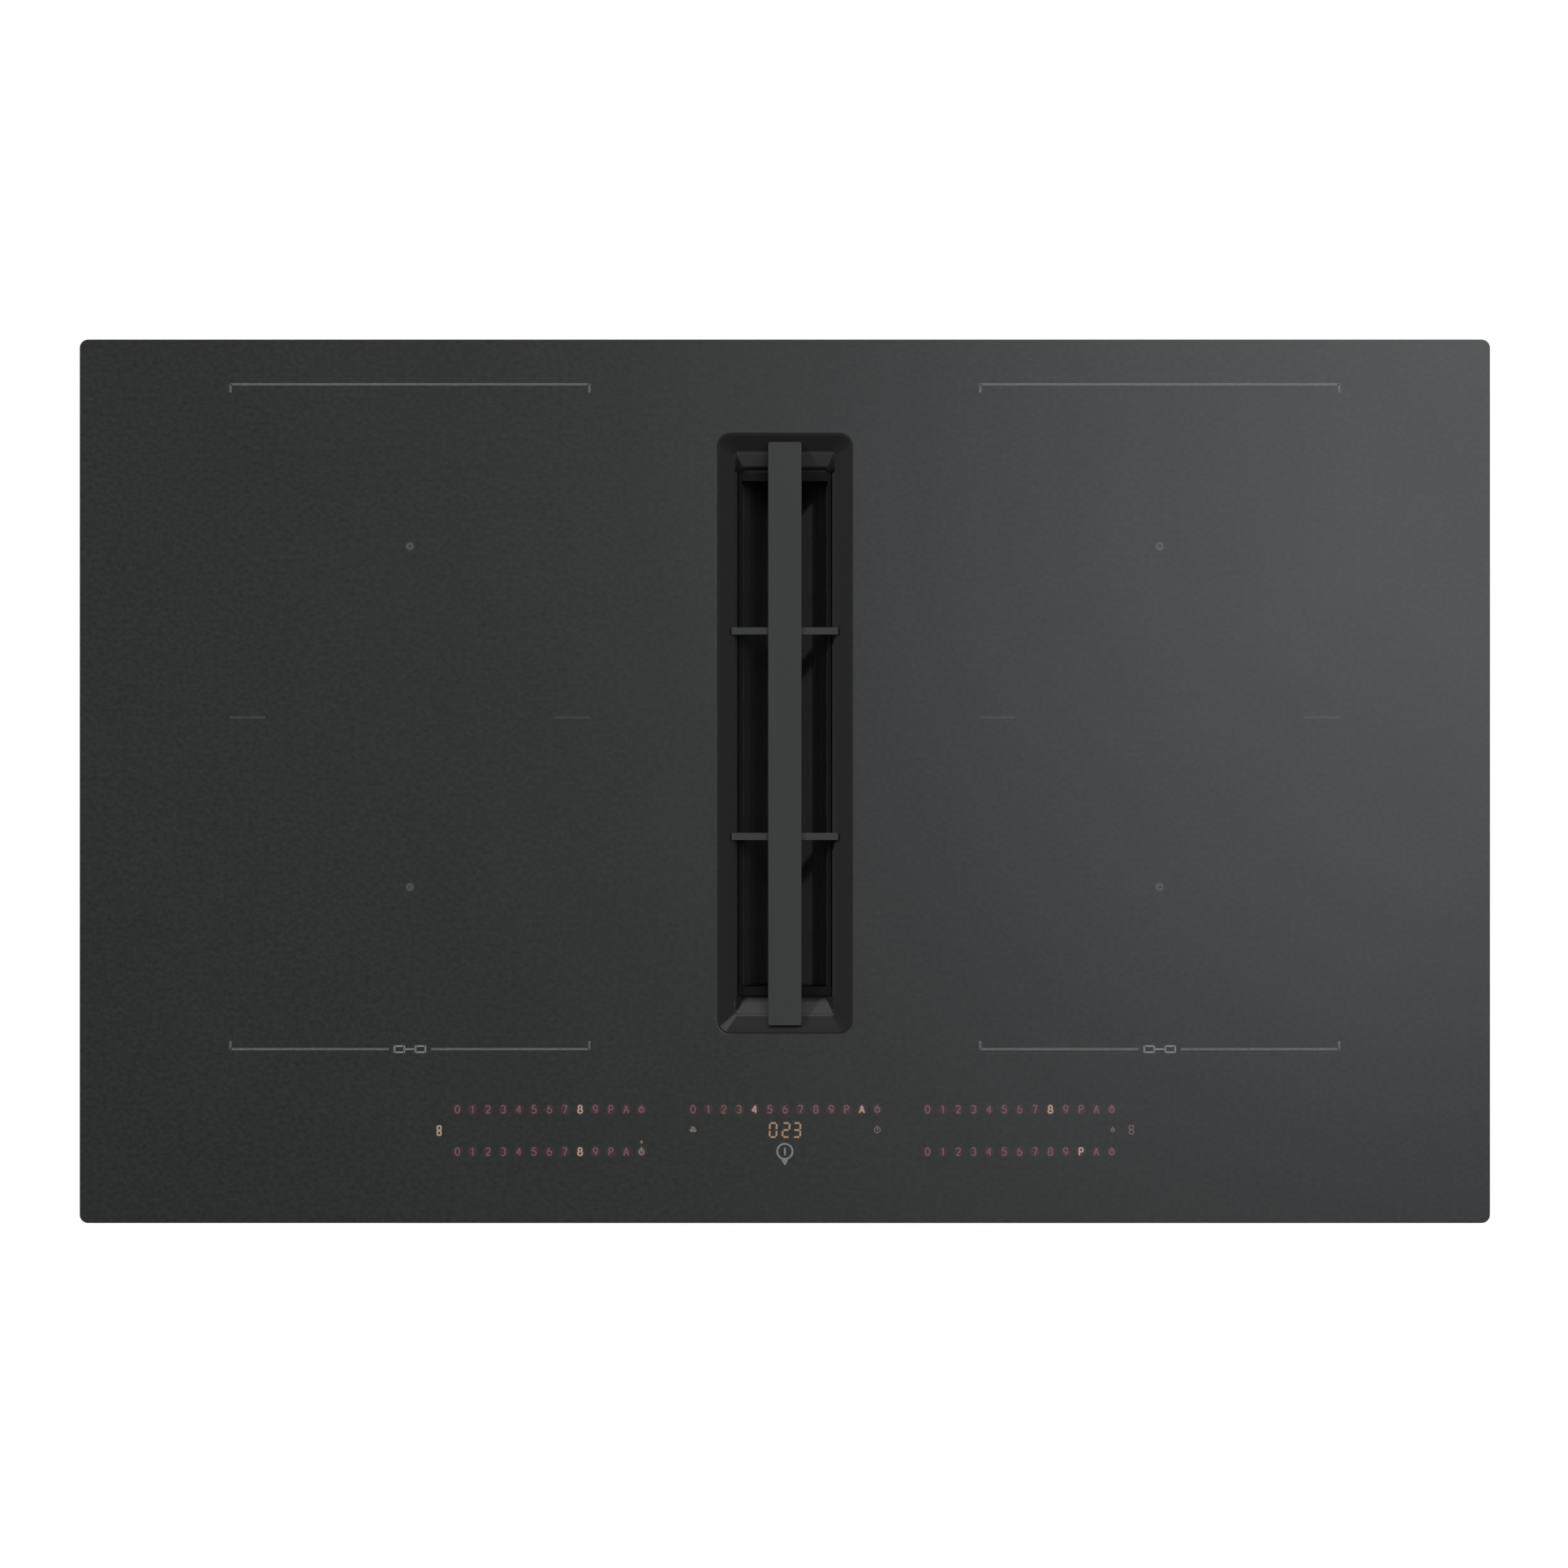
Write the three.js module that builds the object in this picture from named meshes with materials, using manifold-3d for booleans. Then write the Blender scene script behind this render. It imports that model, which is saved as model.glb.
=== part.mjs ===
// Downdraft induction cooktop: a glass hob with four cooking zones, an air intake slot down its middle,
// and a blower hung under its casing. Millimetres. +X is to the cook's right, +Y is to the back and +Z is
// up. The origin is on the surface that the cooktop stands on, under the middle of the glass.
import * as THREE from "three";
import { mergeVertices } from "three/addons/utils/BufferGeometryUtils.js";
import Module from "manifold-3d";

const wasm = await Module();
wasm.setup();

// ---------------------------------------------------------------- driving dimensions
// Fits and facets
const touch = 0.3; // between two pieces that rest on each other
const slip = 1; // round a piece that is lifted or slid out by hand
const spin = 2; // round a piece that turns
const through = 2; // how far a cutter runs past the face that it cuts
const bite = 0.5; // how far a stud or rib runs into the plate that it grows from
const cornerSteps = 4; // facets in a quarter round
const wheelSides = 28; // facets round a wheel or drum
const pegSides = 12; // facets round a pin, post or small hole

// Glass top and its seal
const glassWidth = 830;
const glassDepth = 520;
const glassThickness = 4;
const glassCorner = 5;
const slotWidth = 80;
const slotLength = 354;
const slotCorner = 8;
const slotShift = 28; // from the middle of the glass to the middle of the slot
const sealInset = 1.5; // from the edge of the glass
const sealWidth = 9;
const sealThickness = 2.5;

// Casing
const sideOverhang = 40; // glass past the worktop opening, left and right
const endOverhang = 15; // the same, front and back
const openingClearance = 4; // casing inside the worktop opening
const casingSheet = 1;
const casingHeight = 51;
const casingCorner = 6;
const casingFlange = 9; // turned in under the glass
const collarHeight = 12; // round the funnel, so that spills stay out
const ventWidth = 3.5;
const ventPitch = 8;
const wallVentHeight = 18;
const wallVentCount = 7;
const floorVentLength = 62;
const floorVentCount = 7;

// Intake trim, measured down from the face of the glass
const trimWall = 2;
const trimFit = 0.5; // between the trim and the edge of the slot
const trimCorner = 3; // inner corners of its throat
const lipDrop = 0.6;
const lipWidth = 0.8;
const slopeWidth = 10.4; // sloped border, seen from above
const slopeDrop = 5; // its lower edge
const endSlopeWidth = 10; // second slope at each end, seen from above
const endSlopeDrop = 10; // its lower edge
const seatDrop = 13; // ledge at each end that carries the filter
const seatWidth = 3;
const skirtOverlap = 6; // how far the funnel reaches into the filter housing
const trimFlange = 14; // under the glass
const trimFlangeThickness = 2;

// Cover grille
const barWidth = 19.6;
const barThickness = 2;
const barCorner = 1.2;
const barDrop = 0; // below the face of the glass
const crossbarWidth = 4.2;
const crossbarHeight = 3.2;
const crossbarEnd = 1.1; // height of its end faces
const crossbarSpacing = 121; // between the two
const spineWidth = 12;
const spineEndGap = 14; // from the end of the bar to the end of the spine

// Grease filter
const filterHeight = 40;
const filterRim = 2;
const filterPlate = 2; // thickness of its end plates
const gutterWidth = 18;
const gutterLip = 3;
const tieWidth = 3.6; // straps across the filter's rim
const screenThickness = 1.6;
const screenRows = 3;
const screenRowGap = 5; // metal between the rows
const screenSlots = 7; // along each row
const screenSlotGap = 6; // metal between the slots of one row

// Filter housing and overflow tray
const fanUnitHeight = 156;
const housingMargin = 31; // from the funnel's opening to the housing's side
const housingWall = 2.5;
const sumpHeight = 36; // room for the tray, and the housing's floor above it
const drainWidth = 60;
const drainLength = 180;
const railWidth = 9;
const railThickness = 2;
const windowLength = 200; // opening from the housing to the blower
const windowMargin = 7; // metal over and under that opening
const trayWall = 2;
const trayPullWidth = 60;
const trayPullDepth = 13;

// Blower
const blowerWall = 2.5;
const shellFlange = 3; // top plate of the lower shell
const scrollSteps = 42; // facets round the scroll
const scrollGrowth = 44; // from the tongue, round to the outlet
const scrollTongue = 70; // degrees from +X, where the scroll starts
const tongueGap = 13; // between the impeller and the tongue
const outletReach = 196; // from the impeller's axis to the outlet's face
const outletSetback = 8; // outlet's face, in from the back of the filter housing
const impellerRadius = 92;
const impellerFloorGap = 11;
const impellerTopGap = 6;
const bladeCount = 26;
const bladeDepth = 16;
const bladeThickness = 1.6;
const bladeLean = 4;
const impellerPlate = 2.5;
const impellerRing = 5; // width of its top ring
const sleeveWall = 4;
const sleeveHeight = 6;
const inletMargin = 3; // from the inlet to the inner edge of the blades
const inletLip = 3;
const inletDrop = 6; // how far the inlet's lip hangs down
const inletPlateThickness = 2.5;
const motorRadius = 42;
const motorHeight = 40;
const motorFoot = 4;
const motorBossRadius = 34;
const motorBossHeight = 6;
const shaftRadius = 4;
const shaftEnd = 3; // past the impeller's sleeve
const spigotWidth = 218; // slides into a 222 x 89 flat duct
const spigotHeight = 85;
const spigotLength = 26;
const spigotWall = 2;
const spigotFlange = 6;
const spigotFlangeThickness = 3;
const gasket = 2.5; // foam seals of the air path

// Cooking zones, coils and what carries them
const zoneSideGap = 43; // from the casing's wall to the zone
const zoneSlotGap = 62; // from the trim's flange to the zone
const zoneBackGap = 6;
const zoneFrontGap = 25; // from the touch controls to the zone
const coilMargin = 10; // zone past the winding
const coilEye = 62; // opening in the middle of the winding
const coilCorner = 42;
const coilThickness = 5;
const coilBundles = 3; // rings of wire that stand up from the winding
const bundleHeight = 1;
const bundleGap = 3;
const ferriteThickness = 4.5;
const ferriteWidth = 13;
const ferriteMargin = 6; // coil past the ferrite
const sensorRadius = 7;
const sensorStem = 4;
const sensorFoot = 1.5;
const sensorCap = 4;
const micaThickness = 0.8;
const carrierSheet = 1.5;
const carrierMargin = 16; // carrier past the zones, left and right
const carrierLegWidth = 14;
const carrierSlotLength = 66;

// Electronics
const boardSideGap = 13; // from the coil carrier's legs to the board tray
const boardBackGap = 50; // from the casing's wall to the board tray
const boardTrayWall = 1.5;
const boardTrayRim = 7;
const boardThickness = 1.6;
const boardPost = 4; // height of the posts under the board
const boardMargin = 6;
const sinkWidth = 44;
const sinkHeight = 22;
const sinkFins = 6;
const sinkEndGap = 15; // from the board's edge to the heat sink
const finThickness = 1.6;
const sinkBase = 4;
const capacitorRadius = 13;
const capacitorHeight = 22;
const chokeWidth = 34;
const chokeDepth = 30;
const chokeHeight = 18;
const relayWidth = 24;
const relayDepth = 18;
const relayHeight = 14;
const fanSize = 80;
const fanHeight = 18;
const fanCorner = 5;
const fanRotorRadius = 35;
const fanHubRadius = 16;
const fanBlades = 7;
const fanBlade = 1.4;
const fanPitch = 45; // degrees that its blades are turned
const fanPin = 1.5;
const fanArm = 4;
const fanPlate = 2.5;
const fanAhead = 66; // from the middle of the zones to the middle of the fan

// Touch controls
const touchBoardWidth = 430;
const touchBoardDepth = 42;
const touchBoardBackGap = 12; // from the casing's front wall to the holder
const touchBoardDrop = 8; // below the glass
const holderWall = 1.5;
const holderRoom = 4; // under the board
const holderLeg = 10;
const keySize = 5;
const keyPitch = 9.1;
const keyColumns = 13;
const keyRowSpread = 12.4; // from the middle of the board to a row of keys
const keyGroupSpread = 138; // from the middle of the board to the middle of a side group
const displayWidth = 24;
const displayDepth = 11;

// Mains connection
const terminalWidth = 92;
const terminalDepth = 68;
const terminalHeight = 34;
const terminalWall = 2;
const terminalSideGap = 34; // from the casing's left wall
const terminalBackGap = 8;
const terminalLid = 2.5;
const terminalPoles = 5;
const terminalBlockMargin = 7; // from the box's side to the terminal block
const terminalBlockDepth = 22;
const terminalBlockHeight = 18;
const wireWay = 8;
const cableWayWidth = 46;
const cableWayDepth = 22;
const hingeRadius = 2;
const hingeCheek = 6;
const hingeMetal = 2; // round the hinge rod
const glandRadius = 9;
const glandBore = 6;
const glandWall = 1.5;
const glandLength = 12;

// Side spring clips
const clipSpread = 300; // between the two clips of one side
const clipWidth = 26;
const clipPlate = 1.5;
const clipPlateHeight = 12;
const clipLift = 8; // from the casing's floor to the clip
const clipSheet = 1;
const clipBulge = 6;
const clipBulgeHeight = 20;
const clipTipHeight = 25;
const clipTipReach = 5.2;

// ---------------------------------------------------------------- levels and places that follow
const casingZ = fanUnitHeight + touch;
const casingFloorZ = casingZ + casingSheet;
const glassZ = casingZ + casingHeight + touch;
const faceZ = glassZ + glassThickness;
const casingWidth = glassWidth - 2 * (sideOverhang + openingClearance);
const casingDepth = glassDepth - 2 * (endOverhang + openingClearance);
const innerHalfWidth = casingWidth / 2 - casingSheet;
const innerHalfDepth = casingDepth / 2 - casingSheet;

// Intake trim: half sizes seen from above, from its rim down to its skirt
const plugHalfWidth = slotWidth / 2 - trimFit;
const plugHalfLength = slotLength / 2 - trimFit;
const lipHalfWidth = plugHalfWidth - lipWidth;
const lipHalfLength = plugHalfLength - lipWidth;
const throatHalfWidth = lipHalfWidth - slopeWidth;
const throatHalfLength = lipHalfLength - slopeWidth;
const seatHalfLength = throatHalfLength - endSlopeWidth;
const skirtHalfLength = seatHalfLength - seatWidth;
const passHalfWidth = throatHalfWidth + trimWall + slip; // of the openings that the skirt passes
const passHalfLength = skirtHalfLength + trimWall + slip;
const trimDrop = faceZ - fanUnitHeight + skirtOverlap;
const filterDrop = seatDrop - touch - filterRim;

// Touch controls, then the cooking zones behind them
const holderDepth = touchBoardDepth + 2 * (holderWall + touch);
const touchBoardY = -innerHalfDepth + touchBoardBackGap + holderDepth / 2;
const zoneFrontY = touchBoardY + holderDepth / 2 + zoneFrontGap;
const zoneBackY = innerHalfDepth - zoneBackGap;
const zoneDepth = (zoneBackY - zoneFrontY) / 2;
const zoneMiddleY = (zoneBackY + zoneFrontY) / 2;
const zoneOuterX = innerHalfWidth - zoneSideGap;
const zoneInnerX = slotWidth / 2 + trimFlange + zoneSlotGap;
const zoneWidth = zoneOuterX - zoneInnerX;
const zoneX = (zoneOuterX + zoneInnerX) / 2;
const micaZ = glassZ - touch - micaThickness;
const coilZ = micaZ - touch - bundleHeight - coilThickness;
const ferriteZ = coilZ - touch - ferriteThickness;
const carrierZ = ferriteZ - touch - carrierSheet;
const carrierWidth = zoneWidth + 2 * carrierMargin;

// Electronics, measured from the middle of the zones of one side
const boardTrayWidth = carrierWidth - 2 * (carrierSheet + boardSideGap);
const boardTrayFrontY = -fanAhead + fanSize / 2 + slip;
const boardTrayBackY = innerHalfDepth - boardBackGap - zoneMiddleY;
const boardTrayDepth = boardTrayBackY - boardTrayFrontY;
const boardTrayY = (boardTrayBackY + boardTrayFrontY) / 2;
const boardTrayZ = casingFloorZ + touch;
const boardZ = boardTrayZ + boardTrayWall + boardPost + touch;
const boardWidth = boardTrayWidth - 2 * (boardTrayWall + boardMargin);
const boardDepth = boardTrayDepth - 2 * (boardTrayWall + boardMargin);
const sinkLength = boardDepth - 2 * sinkEndGap;

// Filter housing
const housingWidth = 2 * (passHalfWidth + housingMargin);
const housingLength = 2 * (passHalfLength + housingMargin);
const housingX = housingWidth / 2;

// Blower: its lower shell is a scroll, its upper shell is the plenum beside the filter housing
const scrollHeight = spigotHeight + 2 * spigotFlange;
const inletZ = scrollHeight + touch;
const plenumZ = inletZ + inletPlateThickness + touch;
const plenumHeight = fanUnitHeight - plenumZ;
const scrollStart = impellerRadius + tongueGap;
const plenumWidth = scrollRadius(180) + scrollRadius(360) + 2 * blowerWall;
const plenumLength = scrollRadius(270) + blowerWall + outletReach;
const plenumX = housingX + 2 * touch + gasket + plenumWidth / 2;
const outletY = slotShift + housingLength / 2 - outletSetback;
const plenumY = outletY - plenumLength / 2;
const blowerX = plenumX + plenumWidth / 2 - blowerWall - scrollRadius(360);
const blowerY = outletY - outletReach;
const spigotX = scrollRadius(360) - spigotWidth / 2; // from the impeller's axis
const inletRadius = impellerRadius - bladeDepth - inletMargin;
const windowZ = plenumZ + windowMargin;
const windowHeight = plenumHeight - 2 * windowMargin;
const windowY = plenumY - slotShift; // from the middle of the filter housing
const motorZ = blowerWall + motorBossHeight + touch;
const impellerZ = blowerWall + impellerFloorGap;
const impellerHeight = inletZ - inletDrop - impellerTopGap - impellerZ;
const cupRadius = motorRadius + 2 * spin;
const cupHeight = motorZ + motorFoot + motorHeight + 2 * spin - impellerZ;

// Terminal box
const terminalX = -(casingWidth / 2 - terminalSideGap - terminalWidth / 2);
const terminalY = casingDepth / 2 - terminalBackGap - terminalDepth / 2;
const cableWayShift = terminalDepth / 2 - terminalWall - touch - cableWayDepth / 2;

// The scroll's radius at an angle in degrees from +X.
function scrollRadius(angle) {
  return scrollStart + (scrollGrowth * (angle - scrollTongue)) / (360 - scrollTongue);
}

// ---------------------------------------------------------------- materials
const finish = (color, roughness, metalness = 0) =>
  new THREE.MeshStandardMaterial({ color, roughness, metalness });
const darkGlass = finish(0x3a3d3c, 0.42);
const greyPaint = finish(0x3c3f3e, 0.5);
const blackPlastic = finish(0x1d1e1e, 0.55);
const greyFoam = finish(0x2b2b2b, 0.95);
const zincSteel = finish(0xa9adb0, 0.4, 0.9);
const springSteel = finish(0x8f9295, 0.3, 0.95);
const stainless = finish(0x77797a, 0.35, 0.95);
const aluminium = finish(0xc3c6c9, 0.4, 0.9);
const copperWire = finish(0x9c5a34, 0.45, 0.6);
const ferriteGrey = finish(0x3b3b3d, 0.7);
const micaWhite = finish(0xd6d0c0, 0.8);
const boardGreen = finish(0x1f5a38, 0.5);
const whiteNylon = finish(0xdcdcd6, 0.5);
const motorBlack = finish(0x26282a, 0.4, 0.5);

// ---------------------------------------------------------------- solids
// A closed geometry as a manifold-3d solid.
function solid(geometry) {
  const bare = geometry.clone();
  bare.deleteAttribute("normal");
  bare.deleteAttribute("uv");
  const merged = mergeVertices(bare, 1e-4);
  return new wasm.Manifold(
    new wasm.Mesh({
      numProp: 3,
      vertProperties: merged.attributes.position.array,
      triVerts: new Uint32Array(merged.index.array),
    }),
  );
}

function join(...solids) {
  return solids.reduce((all, next) => all.add(next));
}

function cut(body, ...tools) {
  return tools.reduce((left, tool) => left.subtract(tool), body);
}

// A named mesh from a manifold-3d solid.
function piece(name, body, material, x = 0, y = 0, z = 0) {
  const made = body.getMesh();
  const geometry = new THREE.BufferGeometry();
  geometry.setAttribute("position", new THREE.BufferAttribute(made.vertProperties, 3));
  geometry.setIndex(new THREE.BufferAttribute(made.triVerts, 1));
  geometry.computeVertexNormals();
  const mesh = new THREE.Mesh(geometry, material);
  mesh.name = name;
  mesh.position.set(x, y, z);
  return mesh;
}

function assembly(x, y, z, ...members) {
  const group = new THREE.Group();
  group.position.set(x, y, z);
  group.add(...members);
  return group;
}

// A block that stands on z, centred on x and y.
function block(width, depth, height, x = 0, y = 0, z = 0) {
  return solid(new THREE.BoxGeometry(width, depth, height).translate(x, y, z + height / 2));
}

// The points of a rounded rectangle, counter-clockwise.
function outline(width, depth, corner, steps = cornerSteps) {
  const points = [];
  const signs = [[1, 1], [-1, 1], [-1, -1], [1, -1]];
  signs.forEach(([sx, sy], quarter) => {
    for (let step = 0; step <= steps; step++) {
      const angle = ((quarter + step / steps) * Math.PI) / 2;
      points.push(
        new THREE.Vector2(
          sx * (width / 2 - corner) + corner * Math.cos(angle),
          sy * (depth / 2 - corner) + corner * Math.sin(angle),
        ),
      );
    }
  });
  return points;
}

// A polygon in X and Y, raised from z.
function raised(points, height, z = 0) {
  const options = { depth: height, bevelEnabled: false };
  return solid(new THREE.ExtrudeGeometry(new THREE.Shape(points), options).translate(0, 0, z));
}

// A rounded plate that stands on z.
function plate(width, depth, height, corner, x = 0, y = 0, z = 0, steps = cornerSteps) {
  const points = outline(width, depth, corner, steps).map((p) => p.add(new THREE.Vector2(x, y)));
  return raised(points, height, z);
}

// A polygon given as [x, z] points, as long as length along Y, centred on y.
function alongY(points, length, y = 0) {
  const shape = new THREE.Shape(points.map(([px, pz]) => new THREE.Vector2(px, pz)));
  const geometry = new THREE.ExtrudeGeometry(shape, { depth: length, bevelEnabled: false });
  return solid(geometry.rotateX(Math.PI / 2).translate(0, y + length / 2, 0));
}

// A round bar, tube blank or drum that stands on z.
function disc(radius, height, x = 0, y = 0, z = 0, sides = wheelSides) {
  const geometry = new THREE.CylinderGeometry(radius, radius, height, sides);
  return solid(geometry.rotateX(Math.PI / 2).translate(x, y, z + height / 2));
}

// A round bar along X, centred on x.
function rod(radius, length, x = 0, y = 0, z = 0, sides = pegSides) {
  const geometry = new THREE.CylinderGeometry(radius, radius, length, sides);
  return solid(geometry.rotateZ(Math.PI / 2).translate(x, y, z));
}

// A solid between two levels. Each is a rounded rectangle, given as [half width, half length, corner, z].
function funnel(lower, upper) {
  const positions = [lower, upper].flatMap(([halfWidth, halfLength, corner, z]) =>
    outline(2 * halfWidth, 2 * halfLength, corner).flatMap((p) => [p.x, p.y, z]),
  );
  const count = positions.length / 6;
  const faces = [];
  for (let j = 0; j < count; j++) {
    const k = (j + 1) % count;
    faces.push(j, k, count + k, j, count + k, count + j);
    if (j > 0 && j < count - 1) faces.push(0, j + 1, j, count, count + j, count + j + 1);
  }
  const geometry = new THREE.BufferGeometry();
  geometry.setAttribute("position", new THREE.Float32BufferAttribute(positions, 3));
  geometry.setIndex(faces);
  return solid(geometry);
}

// A profile of [radius, z] points, counter-clockwise, turned round the Z axis.
function turned(points, sides = wheelSides) {
  const profile = [...points, points[0]].map(([r, z]) => new THREE.Vector2(r, z));
  return solid(new THREE.LatheGeometry(profile, sides).rotateX(Math.PI / 2));
}

// ---------------------------------------------------------------- glass top
function glassPanel() {
  const panel = plate(glassWidth, glassDepth, glassThickness, glassCorner);
  const slot = plate(
    slotWidth, slotLength, glassThickness + 2 * through, slotCorner, 0, slotShift, -through,
  );
  return piece("glass_panel", cut(panel, slot), darkGlass, 0, 0, glassZ);
}

function edgeSeal() {
  const width = glassWidth - 2 * sealInset;
  const depth = glassDepth - 2 * sealInset;
  const inside = block(
    width - 2 * sealWidth, depth - 2 * sealWidth, sealThickness + 2 * through, 0, 0, -through,
  );
  const strip = cut(plate(width, depth, sealThickness, glassCorner - sealInset), inside);
  return piece("glass_edge_seal", strip, greyFoam, 0, 0, glassZ - touch - sealThickness);
}

// ---------------------------------------------------------------- intake trim: z 0 is the face of the glass
function intakeTrim() {
  const flangeZ = -glassThickness - touch - trimFlangeThickness;
  const plugCorner = slotCorner - trimFit;
  const lipCorner = plugCorner - lipWidth;
  const outerCorner = trimCorner + trimWall;
  const outerWidth = 2 * (throatHalfWidth + trimWall);
  const flange = plate(
    slotWidth + 2 * trimFlange, slotLength + 2 * trimFlange,
    trimFlangeThickness, slotCorner, 0, 0, flangeZ,
  );
  const plug = plate(
    2 * plugHalfWidth, 2 * plugHalfLength, -lipDrop - flangeZ, plugCorner, 0, 0, flangeZ,
  );
  const neck = funnel(
    [throatHalfWidth + trimWall, throatHalfLength + trimWall, outerCorner, -slopeDrop - trimWall],
    [plugHalfWidth - bite, plugHalfLength - bite, plugCorner, -lipDrop - trimWall],
  );
  const throat = plate(
    outerWidth, 2 * (throatHalfLength + trimWall),
    seatDrop + trimWall - slopeDrop, outerCorner, 0, 0, -seatDrop - trimWall,
  );
  const skirt = plate(
    outerWidth, 2 * (skirtHalfLength + trimWall),
    trimDrop - seatDrop, outerCorner, 0, 0, -trimDrop,
  );
  const mouth = plate(
    2 * lipHalfWidth, 2 * lipHalfLength, lipDrop + through, lipCorner, 0, 0, -lipDrop,
  );
  const border = funnel(
    [throatHalfWidth, throatHalfLength, trimCorner, -slopeDrop],
    [lipHalfWidth, lipHalfLength, lipCorner, -lipDrop],
  );
  const endSlopes = funnel(
    [throatHalfWidth, seatHalfLength, trimCorner, -endSlopeDrop],
    [throatHalfWidth, throatHalfLength, trimCorner, -slopeDrop],
  );
  const seat = plate(
    2 * throatHalfWidth, 2 * seatHalfLength, seatDrop, trimCorner, 0, 0, -seatDrop,
  );
  const shaft = plate(
    2 * throatHalfWidth, 2 * skirtHalfLength, trimDrop + through, trimCorner,
    0, 0, -trimDrop - through,
  );
  const body = cut(join(plug, flange, neck, throat, skirt), mouth, border, endSlopes, seat, shaft);
  return piece("intake_trim", body, blackPlastic);
}

// ---------------------------------------------------------------- cover grille, on the border of the trim
const borderSlope = (slopeDrop - lipDrop) / slopeWidth;

// How far in from the lip the border reaches a depth below the face of the glass.
function borderInset(depth) {
  return (depth - lipDrop) / borderSlope;
}

function coverGrille() {
  const barZ = -barDrop - barThickness;
  const barLength = 2 * (lipHalfLength - borderInset(touch - barZ));
  const bar = plate(barWidth, barLength, barThickness, barCorner, 0, 0, barZ, 1);
  const topZ = barZ - touch;
  const endZ = topZ - crossbarEnd;
  const reach = lipHalfWidth - borderInset(touch - endZ);
  const footZ = topZ - crossbarHeight;
  const footReach = throatHalfWidth - slip;
  const heelZ = endZ - (reach - footReach) * borderSlope;
  const profile = [
    [-footReach, footZ],
    [footReach, footZ],
    [footReach, heelZ],
    [reach, endZ],
    [reach, topZ],
    [-reach, topZ],
    [-reach, endZ],
    [-footReach, heelZ],
  ];
  const crossbars = [-1, 1].map((end) =>
    alongY(profile, crossbarWidth, (end * crossbarSpacing) / 2),
  );
  const spine = block(
    spineWidth, barLength - 2 * spineEndGap, crossbarHeight, 0, 0, footZ,
  );
  return [
    piece("grille_bar", bar, greyPaint),
    piece("grille_frame", join(spine, ...crossbars), greyPaint),
  ];
}

// ---------------------------------------------------------------- grease filter
const filterHalfWidth = throatHalfWidth - slip;
const filterHalfLength = skirtHalfLength - slip;
const filterRimZ = -filterDrop - filterRim;
const filterFloorZ = -filterDrop - filterHeight;
const gutterHalf = gutterWidth / 2;

function filterFrame() {
  const lipZ = filterFloorZ + filterRim + gutterLip;
  const innerLength = 2 * (filterHalfLength - filterPlate);
  const rim = cut(
    block(2 * filterHalfWidth, 2 * (seatHalfLength - slip), filterRim, 0, 0, filterRimZ),
    block(
      2 * (filterHalfWidth - filterRim), innerLength, filterRim + 2 * through,
      0, 0, filterRimZ - through,
    ),
  );
  const endProfile = [
    [-gutterHalf, filterFloorZ],
    [gutterHalf, filterFloorZ],
    [gutterHalf, lipZ],
    [filterHalfWidth, filterRimZ],
    [filterHalfWidth, -filterDrop],
    [-filterHalfWidth, -filterDrop],
    [-filterHalfWidth, filterRimZ],
    [-gutterHalf, lipZ],
  ];
  const ends = [-1, 1].map((end) =>
    alongY(endProfile, filterPlate, end * (filterHalfLength - filterPlate / 2)),
  );
  const gutter = cut(
    block(gutterWidth, 2 * filterHalfLength, filterRim + gutterLip, 0, 0, filterFloorZ),
    block(
      gutterWidth - 2 * filterRim, innerLength, gutterLip + through,
      0, 0, filterFloorZ + filterRim,
    ),
  );
  const ties = [-1, 1].map((end) =>
    block(2 * filterHalfWidth, tieWidth, filterRim, 0, (end * crossbarSpacing) / 2, filterRimZ),
  );
  return piece("filter_frame", join(rim, gutter, ...ends, ...ties), blackPlastic);
}

// A sloping screen: seen from its end, its middle line runs from under the rim down into the gutter.
function filterScreen(name, side) {
  const clear = touch + screenThickness;
  const top = new THREE.Vector2(filterHalfWidth - filterRim, filterRimZ - clear);
  const foot = new THREE.Vector2(gutterHalf - filterRim - clear, filterFloorZ + filterRim + clear);
  const slope = top.clone().sub(foot);
  const middle = top.clone().add(foot).multiplyScalar(0.5);
  const length = 2 * (filterHalfLength - filterPlate - touch);
  const rowPitch = (slope.length() - screenRowGap) / screenRows;
  const slotPitch = (length - screenSlotGap) / screenSlots;
  const sheet = block(slope.length(), length, screenThickness, 0, 0, -screenThickness / 2);
  const slots = Array.from({ length: screenRows }, (_, row) =>
    Array.from({ length: screenSlots }, (_, i) =>
      block(
        rowPitch - screenRowGap, slotPitch - screenSlotGap, screenThickness + 2 * through,
        (row - (screenRows - 1) / 2) * rowPitch, (i - (screenSlots - 1) / 2) * slotPitch,
        -screenThickness / 2 - through,
      ),
    ),
  ).flat();
  const screen = piece(name, cut(sheet, ...slots), stainless, side * middle.x, 0, middle.y);
  screen.rotation.y = -side * Math.atan2(slope.y, slope.x);
  return screen;
}

function greaseFilter() {
  return [
    filterFrame(),
    filterScreen("filter_screen_left", -1),
    filterScreen("filter_screen_right", 1),
  ];
}

// ---------------------------------------------------------------- casing
// Cutters for a row of upright slots through a side wall, or through the back wall, round a middle.
function sideVents(wallX, middleY) {
  return ventRow((along) => [wallX, middleY + along], 2 * through, ventWidth);
}

function backVents(wallY, middleX) {
  return ventRow((along) => [middleX + along, wallY], ventWidth, 2 * through);
}

function ventRow(place, width, depth) {
  return Array.from({ length: wallVentCount }, (_, i) => {
    const [x, y] = place((i - (wallVentCount - 1) / 2) * ventPitch);
    return block(width, depth, wallVentHeight, x, y, (casingHeight - wallVentHeight) / 2);
  });
}

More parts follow.
